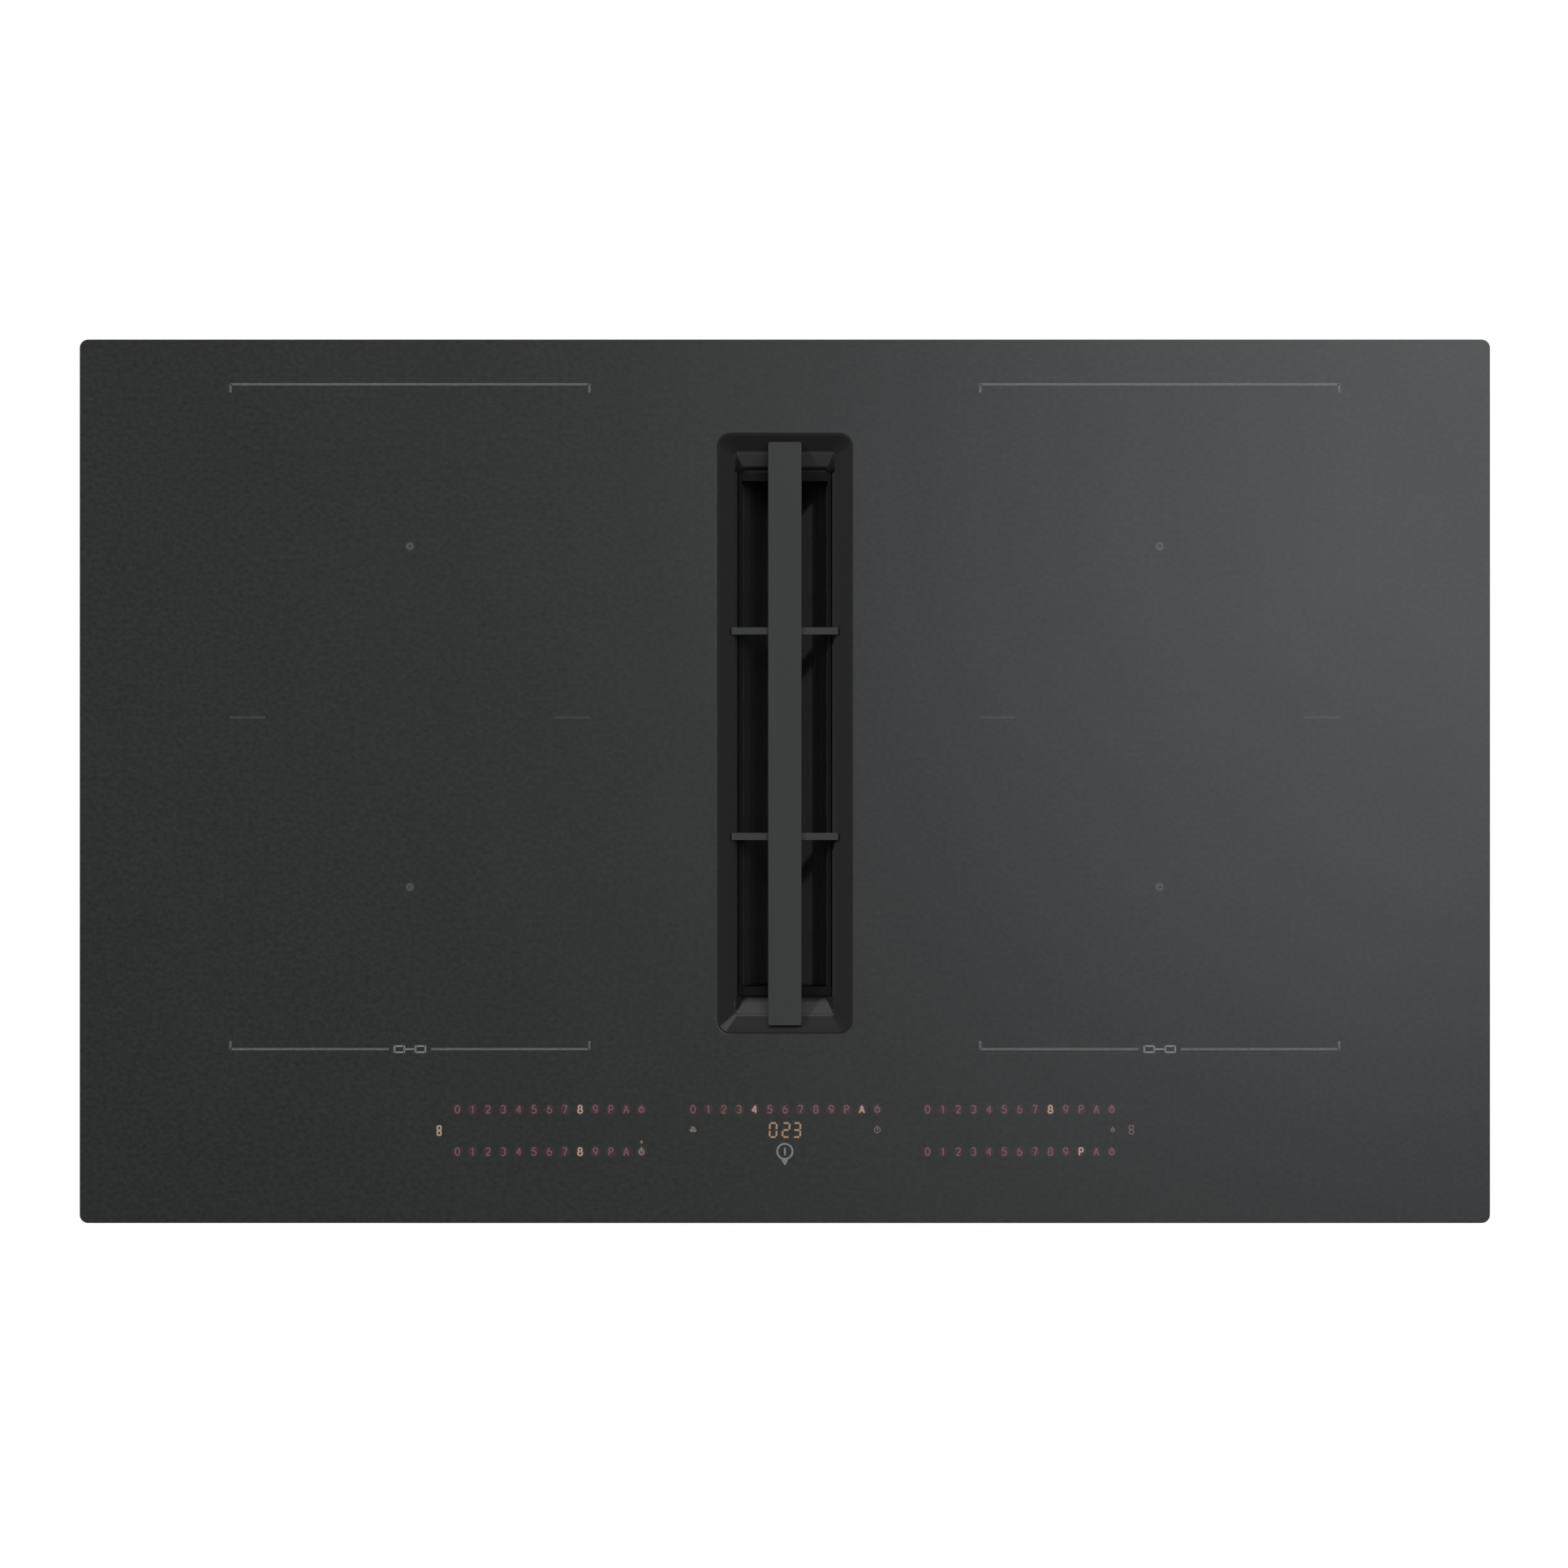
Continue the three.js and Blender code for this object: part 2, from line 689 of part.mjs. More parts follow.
function floorVents(middleX, middleY) {
  return Array.from({ length: floorVentCount }, (_, i) => {
    const x = middleX + (i - (floorVentCount - 1) / 2) * ventPitch;
    return block(ventWidth, floorVentLength, 2 * through, x, middleY, -through);
  });
}

function casingTray() {
  const shell = plate(casingWidth, casingDepth, casingHeight, casingCorner);
  const room = plate(
    2 * innerHalfWidth, 2 * innerHalfDepth, casingHeight - 2 * casingSheet,
    casingCorner - casingSheet, 0, 0, casingSheet,
  );
  const mouth = plate(
    casingWidth - 2 * casingFlange, casingDepth - 2 * casingFlange,
    casingHeight, casingCorner, 0, 0, casingSheet,
  );
  const passCorner = trimCorner + trimWall + slip;
  const collar = plate(
    2 * (passHalfWidth + casingSheet), 2 * (passHalfLength + casingSheet),
    collarHeight, passCorner + casingSheet, 0, slotShift, 0,
  );
  const pass = plate(
    2 * passHalfWidth, 2 * passHalfLength, collarHeight + 2 * through,
    passCorner, 0, slotShift, -through,
  );
  const cableWay = block(
    cableWayWidth, cableWayDepth, 2 * through, terminalX, terminalY + cableWayShift, -through,
  );
  const vents = [-1, 1].flatMap((side) => [
    ...sideVents((side * casingWidth) / 2, 0),
    ...backVents(casingDepth / 2, side * zoneX),
    ...floorVents(side * zoneX, zoneMiddleY - fanAhead),
  ]);
  const tray = cut(join(cut(shell, room, mouth), collar), pass, cableWay, ...vents);
  return piece("casing_tray", tray, zincSteel, 0, 0, casingZ);
}

// ---------------------------------------------------------------- cooking zones of one side
function inductionCoil(name) {
  const width = zoneWidth - 2 * coilMargin;
  const depth = zoneDepth - 2 * coilMargin;
  const band = (Math.min(width, depth) - coilEye) / 2;
  const pitch = band / coilBundles;
  const oval = (inset, height, z) =>
    plate(width - 2 * inset, depth - 2 * inset, height, coilCorner - inset / 2, 0, 0, z, 3);
  const ring = (inset, breadth, height, z) =>
    cut(oval(inset, height, z), oval(inset + breadth, height + 2 * through, z - through));
  const bundles = Array.from({ length: coilBundles }, (_, i) =>
    ring(
      i * pitch + bundleGap / 2, pitch - bundleGap, bundleHeight + bite, coilThickness - bite,
    ),
  );
  return piece(name, join(ring(0, band, coilThickness, 0), ...bundles), copperWire, 0, 0, coilZ);
}

function ferriteStar(name) {
  const reach = Math.min(zoneWidth, zoneDepth) - 2 * (coilMargin + ferriteMargin);
  const bars = [0, 1, 2, 3].map((i) =>
    solid(
      new THREE.BoxGeometry(reach, ferriteWidth, ferriteThickness)
        .rotateZ((i * Math.PI) / 4)
        .translate(0, 0, ferriteThickness / 2),
    ),
  );
  const eye = disc(
    sensorRadius + slip, ferriteThickness + 2 * through, 0, 0, -through, pegSides,
  );
  return piece(name, cut(join(...bars), eye), ferriteGrey, 0, 0, ferriteZ);
}

function zoneSensor(name) {
  const baseZ = carrierZ + carrierSheet + touch;
  const height = glassZ - touch - baseZ;
  const stem = disc(sensorStem, height, 0, 0, 0, pegSides);
  const cap = disc(sensorRadius, sensorCap, 0, 0, height - sensorCap, pegSides);
  const foot = disc(sensorRadius, sensorFoot, 0, 0, 0, pegSides);
  return piece(name, join(stem, cap, foot), whiteNylon, 0, 0, baseZ);
}

function coilCarrier(name) {
  const depth = 2 * zoneDepth;
  const legHeight = carrierZ - casingFloorZ - touch;
  const legs = [-1, 1].flatMap((sx) =>
    [-1, 0, 1].map((sy) =>
      block(
        carrierSheet, carrierLegWidth, legHeight + carrierSheet,
        (sx * (carrierWidth - carrierSheet)) / 2, (sy * (depth - carrierLegWidth)) / 2, -legHeight,
      ),
    ),
  );
  const slots = [-1, 1].flatMap((sx) =>
    [-1, 1].map((sy) =>
      block(
        ferriteWidth, carrierSlotLength, carrierSheet + 2 * through,
        sx * (zoneWidth / 2 - coilMargin), (sy * zoneDepth) / 2, -through,
      ),
    ),
  );
  const sheet = cut(block(carrierWidth, depth, carrierSheet), ...slots);
  return piece(name, join(sheet, ...legs), aluminium, 0, 0, carrierZ);
}

function micaSheet(name) {
  const sheet = block(zoneWidth, 2 * (zoneDepth - coilMargin), micaThickness);
  const holes = [-1, 1].map((end) =>
    disc(
      sensorRadius + slip, micaThickness + 2 * through, 0, (end * zoneDepth) / 2, -through, pegSides,
    ),
  );
  return piece(name, cut(sheet, ...holes), micaWhite, 0, 0, micaZ);
}

// ---------------------------------------------------------------- electronics of one side
function boardTray(name) {
  const shell = block(boardTrayWidth, boardTrayDepth, boardTrayWall + boardTrayRim);
  const room = block(
    boardTrayWidth - 2 * boardTrayWall, boardTrayDepth - 2 * boardTrayWall,
    boardTrayRim + through, 0, 0, boardTrayWall,
  );
  const posts = [-1, 1].flatMap((sx) =>
    [-1, 1].map((sy) =>
      block(
        boardMargin, boardMargin, boardPost + bite,
        (sx * (boardWidth - boardMargin)) / 2, (sy * (boardDepth - boardMargin)) / 2,
        boardTrayWall - bite,
      ),
    ),
  );
  return piece(name, join(cut(shell, room), ...posts), whiteNylon, 0, boardTrayY, boardTrayZ);
}

function powerBoard(name) {
  const standZ = boardThickness - bite;
  const clearX = sinkWidth / 2 + boardMargin;
  const rowY = boardDepth / 4;
  const capacitor = (x, y) =>
    disc(capacitorRadius, capacitorHeight + bite, x, y, standZ, pegSides);
  const choke = (x, y) => block(chokeWidth, chokeDepth, chokeHeight + bite, x, y, standZ);
  const relay = (x, y) => block(relayWidth, relayDepth, relayHeight + bite, x, y, standZ);
  const parts = [
    capacitor(clearX + capacitorRadius, -rowY),
    capacitor(clearX + capacitorRadius, 0),
    relay(clearX + relayWidth / 2, rowY),
    choke(-clearX - chokeWidth / 2, -rowY),
    choke(-clearX - chokeWidth / 2, rowY),
  ];
  const board = block(boardWidth, boardDepth, boardThickness);
  return piece(name, join(board, ...parts), boardGreen, 0, boardTrayY, boardZ);
}

function heatSink(name) {
  const pitch = (sinkWidth - finThickness) / (sinkFins - 1);
  const fins = Array.from({ length: sinkFins }, (_, i) =>
    block(finThickness, sinkLength, sinkHeight, (finThickness - sinkWidth) / 2 + i * pitch),
  );
  const sink = join(block(sinkWidth, sinkLength, sinkBase), ...fins);
  return piece(name, sink, aluminium, 0, boardTrayY, boardZ + boardThickness + touch);
}

// The frame of an axial fan that lies flat, with the pin that its rotor turns on.
function fanFrame(name) {
  const shell = plate(fanSize, fanSize, fanHeight, fanCorner, 0, 0, 0, 2);
  const bore = disc(fanRotorRadius + spin, fanHeight + 2 * through, 0, 0, -through);
  const hub = disc(fanHubRadius, fanPlate, 0, 0, 0, pegSides);
  const pin = disc(fanPin, fanHeight - fanPlate, 0, 0, 0, pegSides);
  const arms = [0, 1, 2].map((i) =>
    solid(
      new THREE.BoxGeometry(fanSize / 2 - through, fanArm, fanPlate)
        .translate(fanSize / 4 - through / 2, 0, fanPlate / 2)
        .rotateZ((i * 2 * Math.PI) / 3 + Math.PI / 6),
    ),
  );
  return piece(name, join(cut(shell, bore), hub, pin, ...arms), blackPlastic);
}

function fanRotor(name) {
  const baseZ = fanPlate + spin / 2;
  const height = fanHeight - baseZ - spin / 2;
  const hub = disc(fanHubRadius, height, 0, 0, baseZ);
  const span = fanRotorRadius - fanHubRadius + spin;
  const blades = Array.from({ length: fanBlades }, (_, i) =>
    solid(
      new THREE.BoxGeometry(span, height, fanBlade)
        .rotateX(THREE.MathUtils.degToRad(fanPitch))
        .translate(fanRotorRadius - span / 2, 0, baseZ + height / 2)
        .rotateZ((i * 2 * Math.PI) / fanBlades),
    ),
  );
  const bore = disc(fanPin + touch, fanHeight + 2 * through, 0, 0, -through, pegSides);
  return piece(name, cut(join(hub, ...blades), bore), blackPlastic);
}

function zoneSide(side) {
  const name = side < 0 ? "left" : "right";
  const zone = (place, y) =>
    assembly(
      0, y, 0,
      ferriteStar(`ferrite_${place}_${name}`),
      inductionCoil(`coil_${place}_${name}`),
      zoneSensor(`sensor_${place}_${name}`),
    );
  return assembly(
    side * zoneX, zoneMiddleY, 0,
    coilCarrier(`coil_carrier_${name}`),
    zone("front", -zoneDepth / 2),
    zone("rear", zoneDepth / 2),
    micaSheet(`mica_sheet_${name}`),
    boardTray(`board_tray_${name}`),
    powerBoard(`power_board_${name}`),
    heatSink(`heat_sink_${name}`),
    assembly(
      0, -fanAhead, casingFloorZ + touch,
      fanFrame(`cooling_fan_frame_${name}`), fanRotor(`cooling_fan_rotor_${name}`),
    ),
  );
}

// ---------------------------------------------------------------- touch controls under the glass
const touchBoardZ = glassZ - touchBoardDrop - boardThickness;
const holderZ = touchBoardZ - touch - holderRoom;

function touchBoardHolder() {
  const wallHeight = glassZ - touch - holderZ;
  const shell = block(touchBoardWidth + 2 * (holderWall + touch), holderDepth, wallHeight);
  const room = block(
    touchBoardWidth + 2 * touch, touchBoardDepth + 2 * touch, wallHeight, 0, 0, holderWall,
  );
  const pads = [-1, 0, 1].map((i) =>
    block(holderLeg, touchBoardDepth, holderRoom, (i * (touchBoardWidth - holderLeg)) / 2),
  );
  const legHeight = holderZ - casingFloorZ - touch;
  const legs = [-1, 1].flatMap((sx) =>
    [-1, 1].map((sy) =>
      block(
        holderLeg, holderLeg, legHeight + holderWall,
        (sx * (touchBoardWidth - holderLeg)) / 2, (sy * (touchBoardDepth - holderLeg)) / 2,
        -legHeight,
      ),
    ),
  );
  const holder = join(cut(shell, room), ...pads, ...legs);
  return piece("touch_board_holder", holder, blackPlastic, 0, 0, holderZ);
}

function touchBoard() {
  const padHeight = touchBoardDrop - touch + bite;
  const padZ = boardThickness - bite;
  const keyRow = (middleX, y) =>
    Array.from({ length: keyColumns }, (_, i) =>
      block(keySize, keySize, padHeight, middleX + (i - (keyColumns - 1) / 2) * keyPitch, y, padZ),
    );
  const keys = [
    [-keyGroupSpread, keyRowSpread],
    [-keyGroupSpread, -keyRowSpread],
    [keyGroupSpread, keyRowSpread],
    [keyGroupSpread, -keyRowSpread],
    [0, keyRowSpread],
  ].flatMap(([x, y]) => keyRow(x, y));
  const powerKey = block(keySize, keySize, padHeight, 0, -keyRowSpread, padZ);
  const display = block(displayWidth, displayDepth, padHeight, 0, 0, padZ);
  const board = join(
    block(touchBoardWidth, touchBoardDepth, boardThickness), display, powerKey, ...keys,
  );
  return piece("touch_board", board, boardGreen, 0, 0, touchBoardZ);
}

// ---------------------------------------------------------------- mains connection: z 0 is the box's rim
const hingeY = -terminalDepth / 2 - hingeRadius - slip;
const hingeZ = -touch - terminalLid / 2;
const glandZ = terminalHeight / 2;
const glandBody = glandBore + glandWall;

function terminalBox() {
  const shell = block(terminalWidth, terminalDepth, terminalHeight);
  const room = block(
    terminalWidth - 2 * terminalWall, terminalDepth - 2 * terminalWall, terminalHeight,
    0, 0, -terminalWall,
  );
  const cableWay = block(
    cableWayWidth, cableWayDepth, 2 * terminalWall,
    0, cableWayShift, terminalHeight - 1.5 * terminalWall,
  );
  const glandHole = rod(glandBody + touch, 4 * terminalWall, -terminalWidth / 2, 0, glandZ);
  const eyeRadius = hingeRadius + hingeMetal;
  const hinge = [-1, 1].map((side) => {
    const x = (side * (terminalWidth - hingeCheek)) / 2;
    const eye = block(
      hingeCheek, eyeRadius + slip + hingeRadius + terminalWall, hingeZ + eyeRadius,
      x, hingeY + (slip + hingeRadius + terminalWall - eyeRadius) / 2, 0,
    );
    const ear = rod(eyeRadius, hingeCheek, x, hingeY, hingeZ);
    return cut(join(eye, ear), rod(hingeRadius + touch, 2 * hingeCheek, x, hingeY, hingeZ));
  });
  return piece("terminal_box", join(cut(shell, room, cableWay, glandHole), ...hinge), blackPlastic);
}

function terminalBlock() {
  const width = terminalWidth - 2 * (terminalWall + terminalBlockMargin);
  const pitch = width / terminalPoles;
  const ways = Array.from({ length: terminalPoles }, (_, i) =>
    block(
      wireWay, wireWay, wireWay, (i - (terminalPoles - 1) / 2) * pitch,
      -terminalBlockDepth / 2, (terminalBlockHeight - wireWay) / 2,
    ),
  );
  const body = cut(block(width, terminalBlockDepth, terminalBlockHeight), ...ways);
  const y = -terminalDepth / 2 + terminalWall + terminalBlockMargin + terminalBlockDepth / 2;
  const z = terminalHeight - terminalWall - touch - terminalBlockHeight;
  return piece("terminal_block", body, whiteNylon, 0, y, z);
}

function terminalCover() {
  const earRoom = hingeCheek + slip;
  const earReach = hingeRadius + hingeMetal + slip;
  const lid = block(terminalWidth, terminalDepth, terminalLid, 0, 0, -touch - terminalLid);
  const tongue = block(
    terminalWidth - 2 * earRoom, -hingeY, terminalLid, 0, hingeY / 2, -touch - terminalLid,
  );
  const notches = [-1, 1].map((side) =>
    block(
      2 * earRoom, 2 * earReach, 4 * terminalLid,
      (side * terminalWidth) / 2, hingeY, -2 * terminalLid,
    ),
  );
  const barrel = rod(hingeRadius, terminalWidth - 2 * touch, 0, hingeY, hingeZ);
  return piece("terminal_cover", join(cut(join(lid, tongue), ...notches), barrel), blackPlastic);
}

function cableGland() {
  const faceX = -terminalWidth / 2 - touch;
  const nut = rod(glandRadius, glandLength, faceX - glandLength / 2, 0, glandZ);
  const neck = rod(glandBody, glandLength, faceX, 0, glandZ);
  const bore = rod(glandBore, 2 * glandLength + 2 * through, faceX - glandLength / 2, 0, glandZ);
  return piece("cable_gland", cut(join(nut, neck), bore), blackPlastic);
}

// ---------------------------------------------------------------- filter housing and overflow tray
function filterHousing() {
  const innerWidth = housingWidth - 2 * housingWall;
  const innerLength = housingLength - 2 * housingWall;
  const chamberZ = sumpHeight + housingWall;
  const shell = block(housingWidth, housingLength, fanUnitHeight);
  const chamber = block(
    innerWidth, innerLength, fanUnitHeight - housingWall - chamberZ, 0, 0, chamberZ,
  );
  const pass = block(
    2 * passHalfWidth, 2 * passHalfLength, housingWall + 2 * through,
    0, 0, fanUnitHeight - housingWall - through,
  );
  const airWindow = block(
    2 * (housingWall + through), windowLength, windowHeight, housingX, windowY, windowZ,
  );
  const trayRoom = block(
    innerWidth, innerLength + housingWall + through, sumpHeight - railThickness,
    0, -(housingWall + through) / 2, railThickness,
  );
  const underside = block(
    innerWidth - 2 * railWidth, innerLength + housingWall + through, railThickness + 2 * through,
    0, -(housingWall + through) / 2, -through,
  );
  const drain = block(
    drainWidth, drainLength, housingWall + 2 * through, 0, 0, sumpHeight - through,
  );
  const body = cut(shell, chamber, pass, airWindow, trayRoom, underside, drain);
  return piece("filter_housing", body, blackPlastic);
}

function overflowTray() {
  const width = housingWidth - 2 * (housingWall + slip);
  const length = housingLength - 2 * housingWall;
  const height = sumpHeight - railThickness - touch - slip;
  const shell = block(width, length, height);
  const room = block(width - 2 * trayWall, length - 2 * trayWall, height, 0, 0, trayWall);
  const pullY = -length / 2 - trayPullDepth / 2;
  const pull = cut(
    block(trayPullWidth, trayPullDepth + 2 * bite, height, 0, pullY),
    block(
      trayPullWidth - 2 * trayWall, trayPullDepth + 2 * bite - trayWall, height,
      0, pullY + trayWall / 2 + bite - trayWall, -trayWall,
    ),
  );
  const body = join(cut(shell, room), pull);
  return piece("overflow_tray", body, blackPlastic, 0, -slip, railThickness + touch);
}

// A foam frame that stands across X, round the opening between the filter housing and the blower.
function blowerSeal() {
  const frame = block(
    gasket, windowLength + 2 * windowMargin, plenumHeight, 0, windowY, plenumZ,
  );
  const opening = block(gasket + 2 * through, windowLength, windowHeight, 0, windowY, windowZ);
  return piece("blower_seal", cut(frame, opening), greyFoam, housingX + touch + gasket / 2, 0, 0);
}

// ---------------------------------------------------------------- blower: x 0, y 0 is the impeller's axis
// The inside of the lower shell, or its outside where extra is its wall: the scroll round the impeller,
// and the duct from the scroll's tongue and its far side to the outlet.
function scroll(extra, height, z) {
  const spiral = Array.from({ length: scrollSteps + 1 }, (_, i) => {
    const angle = scrollTongue + (i / scrollSteps) * (360 - scrollTongue);
    const turn = THREE.MathUtils.degToRad(angle);
    const radius = scrollRadius(angle) + extra;
    return new THREE.Vector2(radius * Math.cos(turn), radius * Math.sin(turn));
  });
  const backY = outletReach - blowerWall + extra;
  const right = scrollRadius(360) + extra;
  const left = scrollRadius(360) - spigotWidth;
  const turn = THREE.MathUtils.degToRad(scrollTongue);
  const tongue = new THREE.Vector2(scrollStart * Math.cos(turn), scrollStart * Math.sin(turn));
  const slant = Math.atan2(outletReach - tongue.y, tongue.x - left);
  const shift = extra / Math.sin(slant);
  const duct = [
    new THREE.Vector2(0, 0),
    new THREE.Vector2(right, 0),
    new THREE.Vector2(right, backY),
    new THREE.Vector2(left - shift, backY),
    new THREE.Vector2(tongue.x - shift, tongue.y),
  ];
  return join(raised(spiral, height, z), raised(duct, height, z));
}

// A plate as large as the plenum, centred on it.
function plenumPlate(width, length, height, z) {
  return block(width, length, height, plenumX - blowerX, plenumY - blowerY, z);
}

function lowerShell() {
  const flange = plenumPlate(plenumWidth, plenumLength, shellFlange, scrollHeight - shellFlange);
  const room = scroll(0, scrollHeight, blowerWall);
  const outlet = block(
    spigotWidth - 2 * spigotWall, 2 * (blowerWall + through), spigotHeight - 2 * spigotWall,
    spigotX, outletReach, spigotFlange + spigotWall,
  );
  const boss = disc(motorBossRadius, motorBossHeight + bite, 0, 0, blowerWall - bite);
  const shell = cut(join(scroll(blowerWall, scrollHeight, 0), flange), room, outlet);
  return piece("blower_lower_shell", join(shell, boss), blackPlastic);
}

function inletPlate() {
  const lip = disc(inletRadius + inletLip, inletDrop + inletPlateThickness, 0, 0, -inletDrop);
  const eye = disc(
    inletRadius, inletDrop + inletPlateThickness + 2 * through, 0, 0, -inletDrop - through,
  );
  const sheet = plenumPlate(plenumWidth, plenumLength, inletPlateThickness, 0);
  return piece("blower_inlet_plate", cut(join(sheet, lip), eye), blackPlastic, 0, 0, inletZ);
}

function upperShell() {
  const shell = plenumPlate(plenumWidth, plenumLength, plenumHeight, 0);
  const room = plenumPlate(
    plenumWidth - 2 * blowerWall, plenumLength - 2 * blowerWall, plenumHeight, -blowerWall,
  );
  const airWindow = block(
    2 * (blowerWall + through), windowLength, windowHeight,
    plenumX - blowerX - plenumWidth / 2, windowY + slotShift - blowerY, windowMargin,
  );
  return piece("blower_upper_shell", cut(shell, room, airWindow), blackPlastic, 0, 0, plenumZ);
}

function blowerMotor() {
  const shaftTop = impellerZ + cupHeight + impellerPlate + sleeveHeight + shaftEnd;
  const foot = disc(motorBossRadius, motorFoot + bite, 0, 0, 0, pegSides);
  const can = disc(motorRadius, motorHeight, 0, 0, motorFoot);
  const shaft = disc(shaftRadius, shaftTop - motorZ, 0, 0, 0, pegSides);
  return piece("blower_motor", join(foot, can, shaft), motorBlack, 0, 0, motorZ);
}

function impeller() {
  const bore = shaftRadius + touch;
  const cupTop = cupHeight + impellerPlate;
  const hub = turned([
    [bore, cupHeight],
    [cupRadius, cupHeight],
    [cupRadius, 0],
    [impellerRadius, 0],
    [impellerRadius, impellerPlate],
    [cupRadius + impellerPlate, impellerPlate],
    [cupRadius + impellerPlate, cupTop],
    [bore + sleeveWall, cupTop],
    [bore + sleeveWall, cupTop + sleeveHeight],
    [bore, cupTop + sleeveHeight],
  ]);
  const ringZ = impellerHeight - impellerPlate;
  const ring = turned([
    [impellerRadius - impellerRing, ringZ],
    [impellerRadius, ringZ],
    [impellerRadius, impellerHeight],
    [impellerRadius - impellerRing, impellerHeight],
  ]);
  // Each blade's outer edge stays inside the flats of the rim.
  const outer = impellerRadius * Math.cos(Math.PI / wheelSides) - bite;
  const inner = impellerRadius - bladeDepth;
  const blade = new THREE.Shape([
    new THREE.Vector2(inner, 0),
    new THREE.Vector2(outer, -bladeLean),
    new THREE.Vector2(outer, bladeThickness - bladeLean),
    new THREE.Vector2(inner, bladeThickness),
  ]);
  const options = { depth: impellerHeight - impellerPlate, bevelEnabled: false };
  const blades = Array.from({ length: bladeCount }, (_, i) =>
    solid(
      new THREE.ExtrudeGeometry(blade, options)
        .translate(0, 0, impellerPlate / 2)
        .rotateZ((i * 2 * Math.PI) / bladeCount),
    ),
  );
  return piece("impeller", join(hub, ring, ...blades), blackPlastic, 0, 0, impellerZ);
}

// The seal and the spigot stand behind the outlet. Both have the outlet's opening.
function outletRing(thickness, width, height) {
  return cut(
    block(width, thickness, height, 0, thickness / 2, (scrollHeight - height) / 2),
    block(
      spigotWidth - 2 * spigotWall, thickness + 2 * through, spigotHeight - 2 * spigotWall,
      0, thickness / 2, spigotFlange + spigotWall,
    ),
  );
}

function outletSeal() {
  const frame = outletRing(gasket, spigotWidth + spigotFlange, spigotHeight + spigotFlange);
  return piece("outlet_seal", frame, greyFoam, spigotX, outletReach + touch, 0);
}

function outletSpigot() {
  const flange = outletRing(spigotFlangeThickness, spigotWidth + 2 * spigotFlange, scrollHeight);
  const tube = outletRing(spigotLength, spigotWidth, spigotHeight);
  const y = outletReach + 2 * touch + gasket;
  return piece("outlet_spigot", join(flange, tube), blackPlastic, spigotX, y, 0);
}

// ---------------------------------------------------------------- spring clips on the casing's side walls
function springClip(place, side) {
  const name = `${place}_${side < 0 ? "left" : "right"}`;
  const y = place === "front" ? -clipSpread / 2 : clipSpread / 2;
  const fixed = block(clipPlate, clipWidth, clipPlateHeight, (side * clipPlate) / 2);
  const profile = [
    [0, 0],
    [clipSheet, 0],
    [clipBulge + clipSheet, clipBulgeHeight],
    [clipTipReach + clipSheet, clipTipHeight],
    [clipTipReach, clipTipHeight],
    [clipBulge, clipBulgeHeight],
  ];
  const leaf = alongY(profile.map(([x, z]) => [side * x, z]), clipWidth);
  return assembly(
    side * (casingWidth / 2 + touch), y, casingZ + clipLift,
    piece(`clip_plate_${name}`, fixed, zincSteel),
    piece(`spring_clip_${name}`, leaf, springSteel, side * (clipPlate + touch), 0, 0),
  );
}

// ---------------------------------------------------------------- the whole cooktop
const cooktop = new THREE.Group();
cooktop.add(
  glassPanel(),
  edgeSeal(),
  assembly(0, slotShift, faceZ, intakeTrim(), ...coverGrille(), ...greaseFilter()),
  casingTray(),
  zoneSide(-1),
  zoneSide(1),
  assembly(0, touchBoardY, 0, touchBoardHolder(), touchBoard()),
  assembly(
    terminalX, terminalY, fanUnitHeight - terminalHeight,
    terminalBox(), terminalBlock(), terminalCover(), cableGland(),
  ),
  assembly(0, slotShift, 0, filterHousing(), overflowTray(), blowerSeal()),
  assembly(
    blowerX, blowerY, 0,
    lowerShell(), inletPlate(), upperShell(), blowerMotor(), impeller(), outletSeal(), outletSpigot(),
  ),
  springClip("front", -1),
  springClip("rear", -1),
  springClip("front", 1),
  springClip("rear", 1),
);

export default cooktop;
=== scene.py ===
import math

import bmesh
import bpy
import numpy as np
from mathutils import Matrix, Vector


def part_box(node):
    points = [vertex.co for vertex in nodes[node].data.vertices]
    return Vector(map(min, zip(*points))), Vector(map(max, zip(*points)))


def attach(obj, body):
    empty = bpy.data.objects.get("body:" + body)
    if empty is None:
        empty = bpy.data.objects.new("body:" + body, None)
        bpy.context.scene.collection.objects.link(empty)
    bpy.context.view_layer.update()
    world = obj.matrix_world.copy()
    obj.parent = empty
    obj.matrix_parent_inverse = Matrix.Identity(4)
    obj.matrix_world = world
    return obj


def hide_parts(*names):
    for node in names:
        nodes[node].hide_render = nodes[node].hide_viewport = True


# Looks of a downdraft induction cooktop, made round its CAD solids. Sizes of shapes are in millimetres,
# and meshes are in metres. +X is to the cook's right, +Y to the back and +Z up.
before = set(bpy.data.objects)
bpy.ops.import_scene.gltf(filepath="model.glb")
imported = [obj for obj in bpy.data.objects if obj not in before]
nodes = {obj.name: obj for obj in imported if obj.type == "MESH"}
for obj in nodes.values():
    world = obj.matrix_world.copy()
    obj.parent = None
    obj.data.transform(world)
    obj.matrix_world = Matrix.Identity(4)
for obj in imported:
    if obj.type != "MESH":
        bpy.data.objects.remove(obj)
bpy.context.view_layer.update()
scene = bpy.context.scene


def span(node):
    """A CAD node's lowest and highest corners, in millimetres."""
    return tuple(1000 * np.array(corner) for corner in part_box(node))


